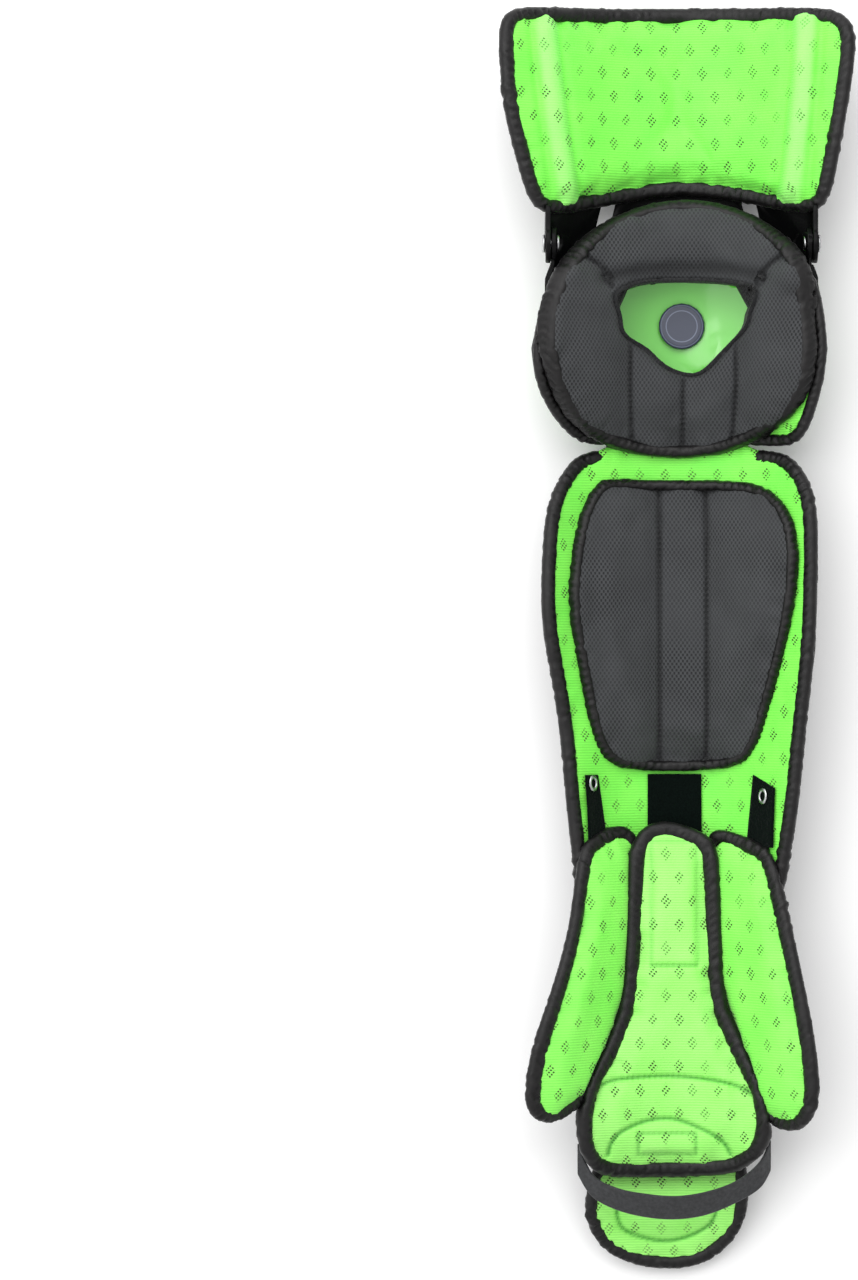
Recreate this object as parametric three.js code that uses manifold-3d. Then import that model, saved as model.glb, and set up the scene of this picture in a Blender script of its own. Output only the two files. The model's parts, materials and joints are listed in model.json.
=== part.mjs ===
// A catcher's leg guard, lying on its outer shells with its padded inside up.
// Millimetres. +Y runs from the toe to the thigh, +X to the right, +Z away from the floor.

import * as THREE from 'three';
import * as BufferGeometryUtils from 'three/addons/utils/BufferGeometryUtils.js';
import Module from 'manifold-3d';

const wasm = await Module();
wasm.setup();

// Driving dimensions
const THIGH_WIDTH = 202;
const THIGH_LENGTH = 118;
const THIGH_PAD_THICKNESS = 12;
const THIGH_DEPTH = 58;
const KNEE_LINER_WIDTH = 169;
const KNEE_LINER_LENGTH = 117;
const KNEE_PAD_WIDTH = 157;
const KNEE_PAD_LENGTH = 146;
const KNEE_PAD_THICKNESS = 17;
const KNEE_PAD_DROP = 4;
const KNEE_LINER_RISE = 0.6;
const WINDOW_WIDTH = 76;
const WINDOW_LENGTH = 51;
const WINDOW_HEIGHT = 69;
const WINDOW_SHIFT = 4.8;
const BADGE_RADIUS = 13.2;
const BADGE_THICKNESS = 1.6;
const SHIN_WIDTH = 158;
const SHIN_LENGTH = 255;
const LINER_THICKNESS = 7;
const SHIN_PAD_WIDTH = 132;
const SHIN_PAD_LENGTH = 166;
const SHIN_PAD_DROP = 14.5;
const SHIN_PAD_THICKNESS = 13;
const SHIN_PAD_SHIFT = 3.2;
const LEG_DEPTH = 62;
const FOOT_OVERLAP = 46;
const WING_LENGTH = 172;
const WING_SPAN = 166;
const WING_THICKNESS = 8;
const TONGUE_WIDTH = 112;
const TONGUE_LENGTH = 200;
const TONGUE_THICKNESS = 10;
const TOE_WIDTH = 94;
const TOE_LENGTH = 69;
const TOE_DROP = 55;
const TOE_THICKNESS = 8;
const TOE_SHIFT = -4.7;
const SHELL_THICKNESS = 3;
const CAP_WIDTH = 112;
const CAP_LENGTH = 96;
const CAP_RISE = 5;
const CAP_FLAT = 0.5;
const HINGE_SPAN = 152;
const HINGE_SHIFT = 2.7;
const HINGE_HEIGHT = 115;
const HINGE_LEVEL = 48;
const HINGE_RADIUS = 11;
const EAR_RADIUS = 9.5;
const EAR_WIDTH = 16;
const EAR_LENGTH = 42;
const HINGE_PLATE = 2.8;
const APRON_HEIGHT = 42;
const APRON_CLEARANCE = 1.4;
const PIN_RADIUS = 3;
const PIN_HEAD_RADIUS = 5;
const PIN_HEAD_THICKNESS = 1.4;
const THIGH_CLEARANCE = 17;
const SLOT_WIDTH = 7.5;
const SLOT_LENGTH = 44;
const SLOT_SLANT = 0.24;
const SLOT_SPREAD = 0.585;
const SLOT_DROP = 0.085;
const STRAP_THICKNESS = 1.6;
const STRAP_RISE = 20;
const STRAP_SINK = 6;
const HOOK_THICKNESS = 1.5;
const CENTRE_HOOK_WIDTH = 31;
const SIDE_HOOK_WIDTH = 12;
const HOOK_OVERLAP = 14;
const HOOK_SETBACK = 2;
const EYELET_RADIUS = 3.4;
const EYELET_HOLE_RADIUS = 1.8;
const EYELET_THICKNESS = 1.2;
const EYELET_STRETCH = 1.4;
const BINDING_WIDTH = 7;
const KNEE_BINDING_WIDTH = 6;
const SHIN_BINDING_WIDTH = 5;
const TONGUE_BINDING_WIDTH = 8;
const TOE_BINDING_WIDTH = 6;
const GAP = 0.3;
const SEAM = 0.6;
const CAP_GAP = 1;
const PAD_SINK = 3;
const PIN_SIDES = 12;
const BADGE_SIDES = 18;
const EYELET_SIDES = 10;

// Levels along the leg, measured from the waist between the knee and the shin
const waist = 0;
const shinEnd = waist - SHIN_LENGTH;
const kneePadLow = waist - KNEE_PAD_DROP;
const hingeAlong = waist + HINGE_HEIGHT;
const thighLow = hingeAlong + THIGH_CLEARANCE;
const shinPadTop = waist - SHIN_PAD_DROP;
const ankle = shinEnd + FOOT_OVERLAP;
const tongueEnd = ankle - TONGUE_LENGTH;
const toeEnd = tongueEnd - TOE_DROP;
const stack = 2 * SHELL_THICKNESS + CAP_GAP + GAP;

// How a section curves from its bottom line to its rim, by the share of its half width
const CUP_SHARPNESS = 0.93;
const FLARE_START = 0.15;

function cupped(share) {
  const reach = Math.min(CUP_SHARPNESS * share, 0.995);
  return (1 - Math.sqrt(1 - reach * reach)) / (1 - Math.sqrt(1 - CUP_SHARPNESS ** 2));
}

// A form is the surface that pads and shells are laid on: rows of sections along the leg,
// each with the height of its bottom line, its half width, its depth and how far it flares.
function makeForm(rows) {
  const columns = rows.flatMap((row) => [row.bottom, row.halfWidth, row.depth, row.flare, row.centre ?? 0]);
  const sections = new THREE.CubicInterpolant(rows.map((row) => row.y), columns, 5);
  return (x, y) => {
    const [bottom, halfWidth, depth, flare, centre] = sections.evaluate(y);
    const share = Math.abs(x - centre) / halfWidth;
    const flared = THREE.MathUtils.smoothstep(share, FLARE_START, 1);
    return bottom + depth * ((1 - flare) * cupped(share) + flare * flared);
  };
}

const kneeHalf = KNEE_LINER_WIDTH / 2;
const legFormLength = KNEE_PAD_LENGTH - KNEE_PAD_DROP - shinEnd;

const legForm = makeForm([
  { along: 0, rise: 0.125, halfWidth: 0.79, depth: 0.8 },
  { along: 0.25, rise: 0.045, halfWidth: 0.89, depth: 0.9 },
  { along: 0.52, rise: 0, halfWidth: 0.985, depth: 0.97 },
  { along: 0.64, rise: 0, halfWidth: 0.98, depth: 0.97 },
  { along: 0.75, rise: 0, halfWidth: 1.06, depth: 1 },
  { along: 0.85, rise: 0.015, halfWidth: 1.05, depth: 1 },
  { along: 0.93, rise: 0.09, halfWidth: 0.94, depth: 0.94 },
  { along: 1, rise: 0.19, halfWidth: 0.92, depth: 0.81 },
].map((row) => ({
  y: shinEnd + row.along * legFormLength,
  bottom: stack + row.rise * LEG_DEPTH,
  halfWidth: row.halfWidth * kneeHalf,
  depth: row.depth * LEG_DEPTH,
  flare: 0,
})));

// The apron below the thigh pad turns about the hinge, so its bottom line keeps
// one distance from the hinge axis where it laps over the knee.
const apronReach = HINGE_LEVEL - SHELL_THICKNESS - 2 * GAP - APRON_CLEARANCE;
const thighHalf = THIGH_WIDTH / 2;

function apronBottom(y) {
  return HINGE_LEVEL - Math.sqrt(apronReach ** 2 - (y - hingeAlong) ** 2);
}

const hingeRows = [
  { above: -0.24, halfWidth: 0.88, flare: 0 },
  { above: 0, halfWidth: 0.88, flare: 0 },
  { above: 0.31, halfWidth: 0.89, flare: 0.1 },
].map((row) => ({
  y: hingeAlong + row.above * APRON_HEIGHT,
  bottom: apronBottom(hingeAlong + row.above * APRON_HEIGHT),
  halfWidth: row.halfWidth * thighHalf,
  depth: THIGH_DEPTH,
  flare: row.flare,
  centre: HINGE_SHIFT,
}));
const padRows = [
  { along: 0.12, rise: 0.18, halfWidth: 0.99, depth: 1, flare: 0.4 },
  { along: 0.5, rise: 0.155, halfWidth: 1.05, depth: 1, flare: 0.5 },
  { along: 1, rise: 0.105, halfWidth: 1.07, depth: 0.97, flare: 0.5 },
].map((row) => ({
  y: thighLow + row.along * THIGH_LENGTH,
  bottom: row.rise * THIGH_DEPTH,
  halfWidth: row.halfWidth * thighHalf,
  depth: row.depth * THIGH_DEPTH,
  flare: row.flare,
}));
const thighForm = makeForm([...hingeRows, ...padRows]);

const wingHalf = WING_SPAN / 2;
const WING_RISE = 0.125;
const wingBase = stack + WING_RISE * LEG_DEPTH + LINER_THICKNESS;

const wingForm = makeForm([
  { along: 0, fall: 0, halfWidth: 0.81, depth: 0.8, flare: 0 },
  { along: 0.25, fall: 0, halfWidth: 0.83, depth: 0.82, flare: 0.2 },
  { along: 0.56, fall: 0.08, halfWidth: 0.98, depth: 0.94, flare: 0.8 },
  { along: 0.86, fall: 0.16, halfWidth: 1.08, depth: 0.97, flare: 1 },
  { along: 1, fall: 0.2, halfWidth: 1.1, depth: 0.97, flare: 1 },
].map((row) => ({
  y: ankle - row.along * WING_LENGTH,
  bottom: wingBase - row.fall * LEG_DEPTH,
  halfWidth: row.halfWidth * wingHalf,
  depth: row.depth * LEG_DEPTH,
  flare: row.flare,
})).reverse());

const tongueHalf = TONGUE_WIDTH / 2;
const TONGUE_LIFT = 4;
const tongueBase = wingBase + HOOK_THICKNESS + 2 * GAP + TONGUE_LIFT;

const tongueForm = makeForm([
  { along: 0, fall: 0, halfWidth: 0.72, depth: 0.32 },
  { along: 0.25, fall: 0, halfWidth: 0.75, depth: 0.32 },
  { along: 0.5, fall: 0.01, halfWidth: 0.82, depth: 0.36 },
  { along: 0.75, fall: 0.08, halfWidth: 1.08, depth: 0.56 },
  { along: 1, fall: 0.13, halfWidth: 1.12, depth: 0.6 },
].map((row) => ({
  y: ankle - row.along * TONGUE_LENGTH,
  bottom: tongueBase - row.fall * LEG_DEPTH,
  halfWidth: row.halfWidth * tongueHalf,
  depth: row.depth * LEG_DEPTH,
  flare: 0,
})).reverse());

const TOE_FORM_WIDTH = 1.16;
const toeForm = makeForm([
  { along: 0, rise: 0.15, depth: 0.26 },
  { along: 0.5, rise: 0.06, depth: 0.26 },
  { along: 0.83, rise: 0, depth: 0.26 },
  { along: 1, rise: 0.01, depth: 0.26 },
].map((row) => ({
  y: toeEnd + (1 - row.along) * TOE_LENGTH,
  bottom: CAP_FLAT + SHELL_THICKNESS + 2 * GAP + row.rise * LEG_DEPTH,
  halfWidth: TOE_FORM_WIDTH * TOE_WIDTH / 2,
  depth: row.depth * LEG_DEPTH,
  flare: 0,
})).reverse());

// Points on a form
function onForm(form, x, y) {
  const step = 0.5;
  const slopeX = (form(x + step, y) - form(x - step, y)) / (2 * step);
  const slopeY = (form(x, y + step) - form(x, y - step)) / (2 * step);
  return {
    x,
    y,
    point: new THREE.Vector3(x, y, form(x, y)),
    normal: new THREE.Vector3(-slopeX, -slopeY, 1).normalize(),
  };
}

// A closed smooth outline through a table of points, seen from above and counter-clockwise
function smoothOutline(points, steps) {
  const curve = new THREE.CatmullRomCurve3(
    points.map(([x, y]) => new THREE.Vector3(x, y, 0)), true, 'centripetal');
  const count = points.length * steps;
  const samples = Array.from({ length: count }, (_, i) => curve.getPoint(i / count));
  return samples.map((sample) => ({ x: sample.x, y: sample.y }));
}

function placed(points, { centre = 0, low, width, length }) {
  return points.map(([across, along]) => [centre + across * width / 2, low + along * length]);
}

// Slides an outline drawn at a height above the form back onto the form below it
function drawnAbove(form, outline, height) {
  return outline.map((target) => {
    let foot = { x: target.x, y: target.y };
    for (let i = 0; i < 8; i += 1) {
      const { normal } = onForm(form, foot.x, foot.y);
      foot = {
        x: 0.4 * foot.x + 0.6 * (target.x - normal.x * height),
        y: 0.4 * foot.y + 0.6 * (target.y - normal.y * height),
      };
    }
    return foot;
  });
}

// Moves an outline inward by a width that is measured along the form
function inset(form, outline, width) {
  const count = outline.length;
  return outline.map((here, i) => {
    const before = outline[(i + count - 1) % count];
    const after = outline[(i + 1) % count];
    const run = Math.hypot(after.x - before.x, after.y - before.y);
    const inward = { x: (before.y - after.y) / run, y: (after.x - before.x) / run };
    const climb = form(here.x + inward.x, here.y + inward.y) - form(here.x, here.y);
    const plan = width / Math.hypot(1, climb);
    return { x: here.x + inward.x * plan, y: here.y + inward.y * plan };
  });
}

function nearestOnSpine([start, end], point) {
  const along = { x: end[0] - start[0], y: end[1] - start[1] };
  const size = along.x ** 2 + along.y ** 2;
  const share = size === 0 ? 0
    : ((point.x - start[0]) * along.x + (point.y - start[1]) * along.y) / size;
  const held = THREE.MathUtils.clamp(share, 0, 1);
  return { x: start[0] + held * along.x, y: start[1] + held * along.y };
}

// Where a ray from the centre of a hole toward a point crosses the hole's edge
function towardHole(hole, centre, point) {
  const ray = { x: point.x - centre.x, y: point.y - centre.y };
  for (let i = 0; i < hole.length; i += 1) {
    const from = hole[i];
    const to = hole[(i + 1) % hole.length];
    const edge = { x: to.x - from.x, y: to.y - from.y };
    const start = { x: from.x - centre.x, y: from.y - centre.y };
    const cross = ray.x * edge.y - ray.y * edge.x;
    const reach = (start.x * edge.y - start.y * edge.x) / cross;
    const share = (start.x * ray.y - start.y * ray.x) / cross;
    if (reach > 0 && share >= 0 && share <= 1) {
      return { x: centre.x + reach * ray.x, y: centre.y + reach * ray.y };
    }
  }
  return centre;
}

// A closed solid between two heights above a form. Its rings run from the outside in,
// and end at a centre point or at the edge of a hole.
function layer(form, rings, centre, lower, upper) {
  const count = rings[0].length;
  const positions = [];
  const faces = [];
  const push = ({ point, normal }, height) => {
    positions.push(...point.clone().addScaledVector(normal, height).toArray());
  };
  [lower, upper].forEach((heights) => {
    rings.forEach((ring, r) => {
      ring.forEach(({ x, y }) => push(onForm(form, x, y), heights[r]));
    });
    if (centre) push(onForm(form, centre.x, centre.y), heights[rings.length]);
  });
  const side = rings.length * count + (centre ? 1 : 0);
  const last = (rings.length - 1) * count;
  for (let i = 0; i < count; i += 1) {
    const next = (i + 1) % count;
    for (let r = 0; r < rings.length - 1; r += 1) {
      const [a, b, c, d] = [r * count + i, r * count + next, (r + 1) * count + next, (r + 1) * count + i];
      faces.push(side + a, side + b, side + c, side + a, side + c, side + d);
      faces.push(a, c, b, a, d, c);
    }
    faces.push(i, next, side + next, i, side + next, side + i);
    if (centre) {
      faces.push(side + last + i, side + last + next, 2 * side - 1, last + next, last + i, side - 1);
    } else {
      faces.push(last + next, last + i, side + last + i, last + next, side + last + i, side + last + next);
    }
  }
  const geometry = new THREE.BufferGeometry();
  geometry.setAttribute('position', new THREE.Float32BufferAttribute(positions, 3));
  geometry.setIndex(faces);
  return geometry;
}

function toSolid(geometry) {
  const bare = geometry.clone();
  bare.deleteAttribute('normal');
  bare.deleteAttribute('uv');
  const merged = BufferGeometryUtils.mergeVertices(bare, 1e-4);
  return new wasm.Manifold(new wasm.Mesh({
    numProp: 3,
    vertProperties: new Float32Array(merged.attributes.position.array),
    triVerts: new Uint32Array(merged.index.array),
  }));
}

function toGeometry(solid) {
  const mesh = solid.getMesh();
  const geometry = new THREE.BufferGeometry();
  geometry.setAttribute('position', new THREE.BufferAttribute(mesh.vertProperties, 3));
  geometry.setIndex(new THREE.BufferAttribute(mesh.triVerts, 1));
  return geometry;
}

const RING_SHARES = [0.78, 0.45];
const HOLE_SHARES = [0.55, 0];
const GROWN_HOLE_SHARES = [0.55, -0.03];
const RIM_BEVEL = 0.8;
const PAD_RIM = 0.6;

function towardSpine(spine, ring, share) {
  return ring.map((point) => {
    const end = nearestOnSpine(spine, point);
    return { x: end.x + share * (point.x - end.x), y: end.y + share * (point.y - end.y) };
  });
}

function middleOf([start, end]) {
  return { x: (start[0] + end[0]) / 2, y: (start[1] + end[1]) / 2 };
}

// A plate or slab inside an outline, between two heights above a form
function sheet(form, outline, spine, lower, upper) {
  const rings = [outline, ...RING_SHARES.map((share) => towardSpine(spine, outline, share))];
  return toSolid(layer(form, rings, middleOf(spine), Array(4).fill(lower), Array(4).fill(upper)));
}

// A padded sheet: its rings on the form, and the solids that share them. The outline is
// drawn as it shows at the sheet's own base height.
function makePad({ form, points, place, spine, hole, width = BINDING_WIDTH,
  seam = SEAM, base = 0, sink = 0, rim, middle }) {
  const shown = smoothOutline(placed(points, place), 1);
  const outline = base > 0 ? drawnAbove(form, shown, base) : shown;
  const edge = inset(form, outline, width);
  const padEdge = inset(form, edge, seam);
  const ringAt = (share) => {
    if (!hole) return towardSpine(spine, padEdge, share);
    return padEdge.map((point) => {
      const end = towardHole(hole.edge, hole.centre, point);
      return { x: end.x + share * (point.x - end.x), y: end.y + share * (point.y - end.y) };
    });
  };
  const inner = (hole ? HOLE_SHARES : RING_SHARES).map(ringAt);
  const grown = hole ? GROWN_HOLE_SHARES.map(ringAt) : inner;
  const centre = hole ? null : middleOf(spine);
  const level = (value) => Array(inner.length + 2).fill(value);
  const rimTop = [base + rim - RIM_BEVEL, base + rim];
  const rimLow = sink > 0 ? [base - sink, base - sink] : [base + RIM_BEVEL, base];
  const padTop = [base + rim, ...level(base + middle)];
  const shellLow = -GAP - SHELL_THICKNESS;
  return {
    padEdge,
    binding: () => toSolid(layer(form, [outline, edge], null, rimLow, rimTop)),
    pad: () => toSolid(layer(form, [padEdge, ...inner], centre, level(base - sink), padTop)),
    shell: () => toSolid(layer(form, [padEdge, ...inner], centre, level(shellLow), level(-GAP))),
    shellRoom: () => toSolid(layer(form, [edge, ...grown], centre, level(shellLow - SEAM), level(0))),
    room: () => toSolid(layer(
      form,
      [inset(form, outline, -GAP), edge, ...grown],
      centre,
      [base - sink - GAP, ...level(base - sink - GAP)],
      [base + rim + GAP, base + rim + GAP, ...level(base + middle + GAP)],
    )),
  };
}

// What a cut leaves behind: the biggest piece, without its slivers
function biggest(solid) {
  return solid.decompose().sort((a, b) => b.volume() - a.volume())[0];
}

function cylinderAlongX(radius, from, to, y, z) {
  const geometry = new THREE.CylinderGeometry(radius, radius, Math.abs(to - from), PIN_SIDES);
  geometry.rotateZ(Math.PI / 2);
  geometry.translate((from + to) / 2, y, z);
  return toSolid(geometry);
}

function boxBetween(low, high) {
  const size = high.map((value, i) => value - low[i]);
  const geometry = new THREE.BoxGeometry(...size);
  geometry.translate(...low.map((value, i) => value + size[i] / 2));
  return toSolid(geometry);
}

const finishes = {
  greenMesh: { color: 0x7ae552, roughness: 0.8 },
  darkMesh: { color: 0x3c3f41, roughness: 0.85 },
  tape: { color: 0x2a292b, roughness: 0.75 },
  blackPlastic: { color: 0x1b1b1c, roughness: 0.45 },
  greenPlastic: { color: 0x6fd44c, roughness: 0.25 },
  badgePlastic: { color: 0x474c5c, roughness: 0.4 },
  hook: { color: 0x0e1512, roughness: 0.95 },
  steel: { color: 0x9a9c9e, roughness: 0.35, metalness: 0.9 },
};

const guard = new THREE.Group();
const thigh = new THREE.Group();
const lowerLeg = new THREE.Group();
guard.add(thigh, lowerLeg);

function addPiece(group, name, solid, finish) {
  const mesh = new THREE.Mesh(toGeometry(solid), new THREE.MeshStandardMaterial(finishes[finish]));
  mesh.name = name;
  group.add(mesh);
}

// Hinge: the thigh plate's arms outside, the knee frame's ears inside, one rivet a side
const SIDES = [
  { name: 'left', sign: -1 },
  { name: 'right', sign: 1 },
].map((side) => {
  const outer = HINGE_SHIFT + side.sign * HINGE_SPAN / 2;
  const armInner = outer - side.sign * HINGE_PLATE;
  const earOuter = armInner - side.sign * GAP;
  const earInner = earOuter - side.sign * HINGE_PLATE;
  return { ...side, outer, armInner, earOuter, earInner };
});

function hingeDisc(radius, from, to) {
  return cylinderAlongX(radius, from, to, hingeAlong, HINGE_LEVEL);
}

function pinHole({ sign, outer, earInner }) {
  const past = sign * HINGE_PLATE;
  return cylinderAlongX(PIN_RADIUS + GAP, outer + past, earInner - past, hingeAlong, HINGE_LEVEL);
}

// Outline tables hold pairs: across, as a share of half the width, and along, as a share
// of the length.

// Thigh pad
const THIGH_OUTLINE = [
  [-1, 0.82], [-0.98, 0.5], [-0.915, 0.3], [-0.85, 0.09], [-0.795, 0.017], [-0.715, 0], [-0.6, 0.02],
  [-0.35, 0.068], [-0.15, 0.1], [0.05, 0.118], [0.25, 0.1], [0.45, 0.074], [0.65, 0.028], [0.8, 0.006],
  [0.86, 0.074], [0.89, 0.21], [0.94, 0.44], [0.985, 0.69], [1, 0.85], [0.945, 0.93], [0.85, 0.97],
  [0.5, 0.99], [0, 0.998], [-0.55, 0.983], [-0.9, 0.975], [-0.985, 0.92],
];
const thighSpine = [0.42, 0.7].map((share) => [0, thighLow + share * THIGH_LENGTH]);
const thighPad = makePad({
  form: thighForm,
  points: THIGH_OUTLINE,
  place: { low: thighLow, width: THIGH_WIDTH, length: THIGH_LENGTH },
  spine: thighSpine,
  rim: PAD_RIM * THIGH_PAD_THICKNESS,
  middle: THIGH_PAD_THICKNESS,
});
addPiece(thigh, 'thigh_pad', thighPad.pad(), 'greenMesh');
addPiece(thigh, 'thigh_binding', thighPad.binding(), 'tape');

// Thigh shell: one plate that backs the pad and runs down in an apron with two hinge arms
// and a middle tab. The apron's points are shares of the hinge's reach and the apron's height.
const APRON_OUTLINE = [
  [-1, 0.6], [-1, 0.25], [-1, -0.1], [-0.95, -0.24], [-0.83, -0.16], [-0.705, 0.02], [-0.52, -0.12],
  [-0.29, -0.24], [0, -0.25], [0.29, -0.24], [0.52, -0.12], [0.705, 0.02], [0.83, -0.16], [0.95, -0.24],
  [1, -0.1], [1, 0.25], [1, 0.6],
];
const apronReachAcross = HINGE_SPAN / 2 - 0.8 * SHELL_THICKNESS;
const apron = APRON_OUTLINE.map(([across, along]) => (
  { x: HINGE_SHIFT + across * apronReachAcross, y: hingeAlong + along * APRON_HEIGHT }));
const apronTop = hingeAlong + APRON_HEIGHT;
const leaves = thighPad.padEdge.findIndex((point) => point.y < apronTop);
const returns = thighPad.padEdge.findLastIndex((point) => point.y < apronTop) + 1;
const plateOutline = [...thighPad.padEdge.slice(0, leaves), ...apron, ...thighPad.padEdge.slice(returns)];

function slotCutter(sign) {
  const geometry = new THREE.BoxGeometry(SLOT_WIDTH, SLOT_LENGTH, 2 * THIGH_DEPTH);
  geometry.rotateZ(sign * SLOT_SLANT);
  const slotX = HINGE_SHIFT + sign * SLOT_SPREAD * HINGE_SPAN / 2;
  geometry.translate(slotX, thighLow + SLOT_DROP * THIGH_LENGTH - SLOT_LENGTH / 2, THIGH_DEPTH);
  return toSolid(geometry);
}

let thighShell = sheet(thighForm, plateOutline, thighSpine, -SEAM - SHELL_THICKNESS, -SEAM);
SIDES.forEach((side) => {
  const [low, high] = [side.armInner, side.outer].sort((a, b) => a - b);
  const plateLevel = thighForm(side.armInner, hingeAlong + 0.25 * APRON_HEIGHT) - SEAM - SHELL_THICKNESS / 2;
  const armFoot = Math.min(HINGE_LEVEL - HINGE_RADIUS, plateLevel);
  thighShell = thighShell
    .subtract(hingeDisc(EAR_RADIUS + SEAM, side.armInner, side.earInner - side.sign * SEAM))
    .add(hingeDisc(HINGE_RADIUS, side.armInner, side.outer))
    .add(boxBetween(
      [low, hingeAlong, armFoot],
      [high, hingeAlong + 0.5 * APRON_HEIGHT, HINGE_LEVEL + 0.7 * HINGE_RADIUS]));
});
thighShell = thighShell.subtract(thighPad.room());
SIDES.forEach((side) => {
  thighShell = thighShell.subtract(slotCutter(side.sign)).subtract(pinHole(side));
});
addPiece(thigh, 'thigh_shell', biggest(thighShell), 'blackPlastic');

// Knee window
const windowAlong = waist + WINDOW_HEIGHT;
const windowCentre = { x: WINDOW_SHIFT, y: windowAlong };
const WINDOW_OUTLINE = [
  [-0.93, 0.12], [-0.86, -0.08], [-0.53, -0.22], [-0.25, -0.41], [0.07, -0.5], [0.28, -0.46],
  [0.57, -0.25], [0.85, -0.03], [0.92, 0.15], [1, 0.38], [0.74, 0.45], [0.39, 0.49], [-0.07, 0.5],
  [-0.53, 0.48], [-0.82, 0.42], [-1, 0.32],
];

function windowHole(margin) {
  const flat = () => 0;
  const edge = smoothOutline(placed(WINDOW_OUTLINE, {
    centre: WINDOW_SHIFT, low: windowAlong, width: WINDOW_WIDTH, length: WINDOW_LENGTH,
  }), 2);
  return { edge: inset(flat, edge, -margin), centre: windowCentre };
}

// Knee liner with its binding
const KNEE_LINER_OUTLINE = [
  [-0.65, 0.01], [-0.4, 0.03], [0, 0.03], [0.4, 0.03], [0.68, 0.01], [0.8, 0.01], [0.88, 0.06],
  [0.935, 0.17], [0.985, 0.31], [1.015, 0.47], [0.985, 0.67], [0.93, 0.83], [0.85, 0.88], [0.7, 0.93],
  [0.35, 0.99], [0, 1], [-0.35, 0.98], [-0.62, 0.92], [-0.82, 0.86], [-0.92, 0.69],
  [-0.985, 0.48], [-0.96, 0.33], [-0.9, 0.22], [-0.81, 0.12],
];
const WINDOW_MARGIN = 2;
const kneeLiner = makePad({
  form: legForm,
  points: KNEE_LINER_OUTLINE,
  place: { low: waist + KNEE_LINER_RISE, width: KNEE_LINER_WIDTH, length: KNEE_LINER_LENGTH },
  hole: windowHole(WINDOW_MARGIN),
  rim: LINER_THICKNESS,
  middle: LINER_THICKNESS,
});
const kneeRoom = kneeLiner.room();
addPiece(lowerLeg, 'knee_liner', kneeLiner.pad(), 'greenMesh');
addPiece(lowerLeg, 'knee_liner_binding', kneeLiner.binding(), 'tape');

// Knee pad round the window
const KNEE_PAD_OUTLINE = [
  [0.06, 0], [0.35, 0.015], [0.64, 0.07], [0.86, 0.157], [0.97, 0.27], [1.005, 0.41],
  [0.97, 0.6], [0.935, 0.69], [0.89, 0.76], [0.83, 0.81], [0.75, 0.855], [0.58, 0.93],
  [0.32, 0.985], [0.06, 1], [-0.26, 0.975], [-0.55, 0.9], [-0.74, 0.81], [-0.89, 0.695], [-0.97, 0.56],
  [-0.985, 0.41], [-0.955, 0.33], [-0.91, 0.253], [-0.845, 0.185], [-0.76, 0.13], [-0.66, 0.088],
  [-0.53, 0.05], [-0.26, 0.012],
];
const kneePad = makePad({
  form: legForm,
  points: KNEE_PAD_OUTLINE,
  place: { low: kneePadLow, width: KNEE_PAD_WIDTH, length: KNEE_PAD_LENGTH },
  hole: windowHole(0),
  width: KNEE_BINDING_WIDTH,
  seam: 3 * GAP,
  base: LINER_THICKNESS + GAP,
  sink: PAD_SINK,
  rim: PAD_RIM * KNEE_PAD_THICKNESS,
  middle: KNEE_PAD_THICKNESS,
});

// Knee frame under the liner, with an ear at each hinge. An ear's points are pairs: inward, as
// a share of its width, and above the hinge, as a share of its length.
const EAR_OUTLINE = [
  [0, 0.07], [0.12, 0.14], [0.5, 0.12], [0.81, -0.19], [0.75, -0.71], [0.25, -0.86],
  [-0.19, -0.71], [-0.19, -0.48], [0, -0.29],
];
const EAR_SPINE = [[0.31, -0.33], [0.31, -0.14]];
const EAR_SETBACK = 0.8;
const ears = SIDES.map((side) => {
  const wall = Math.abs(side.earOuter) - 0.9 * SHELL_THICKNESS;
  const inPlace = ([inward, above]) => (
    [side.sign * (wall - inward * EAR_WIDTH), hingeAlong + above * EAR_LENGTH]);
  const points = EAR_OUTLINE.map(inPlace).map(([x, y]) => ({ x, y }));
  const outline = side.sign > 0 ? points : points.reverse();
  const low = -GAP - SHELL_THICKNESS - EAR_SETBACK;
  const headEnd = side.earInner - side.sign * KNEE_PAD_THICKNESS / 2;
  const armRoom = hingeDisc(HINGE_RADIUS + 2 * SEAM, side.earOuter, side.outer + side.sign * HINGE_PLATE);
  return sheet(legForm, outline, EAR_SPINE.map(inPlace), low, -GAP - EAR_SETBACK)
    .subtract(armRoom)
    .add(hingeDisc(EAR_RADIUS, side.earInner, side.earOuter))
    .subtract(kneeRoom)
    .subtract(kneePad.room())
    .subtract(cylinderAlongX(PIN_HEAD_RADIUS + 2 * SEAM, side.earInner, headEnd, hingeAlong, HINGE_LEVEL))
    .subtract(pinHole(side));
});
const kneeFrame = biggest(kneeLiner.shell().add(ears[0]).add(ears[1]));

SIDES.forEach((side) => {
  const { sign, name, outer, earInner } = side;
  const headOuter = outer + sign * (GAP + PIN_HEAD_THICKNESS);
  const headInner = earInner - sign * (GAP + PIN_HEAD_THICKNESS);
  const rivet = cylinderAlongX(PIN_RADIUS, headInner, headOuter, hingeAlong, HINGE_LEVEL)
    .add(cylinderAlongX(PIN_HEAD_RADIUS, outer + sign * GAP, headOuter, hingeAlong, HINGE_LEVEL))
    .add(cylinderAlongX(PIN_HEAD_RADIUS, headInner, earInner - sign * GAP, hingeAlong, HINGE_LEVEL));
  addPiece(lowerLeg, `hinge_rivet_${name}`, rivet, 'steel');
});

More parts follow.
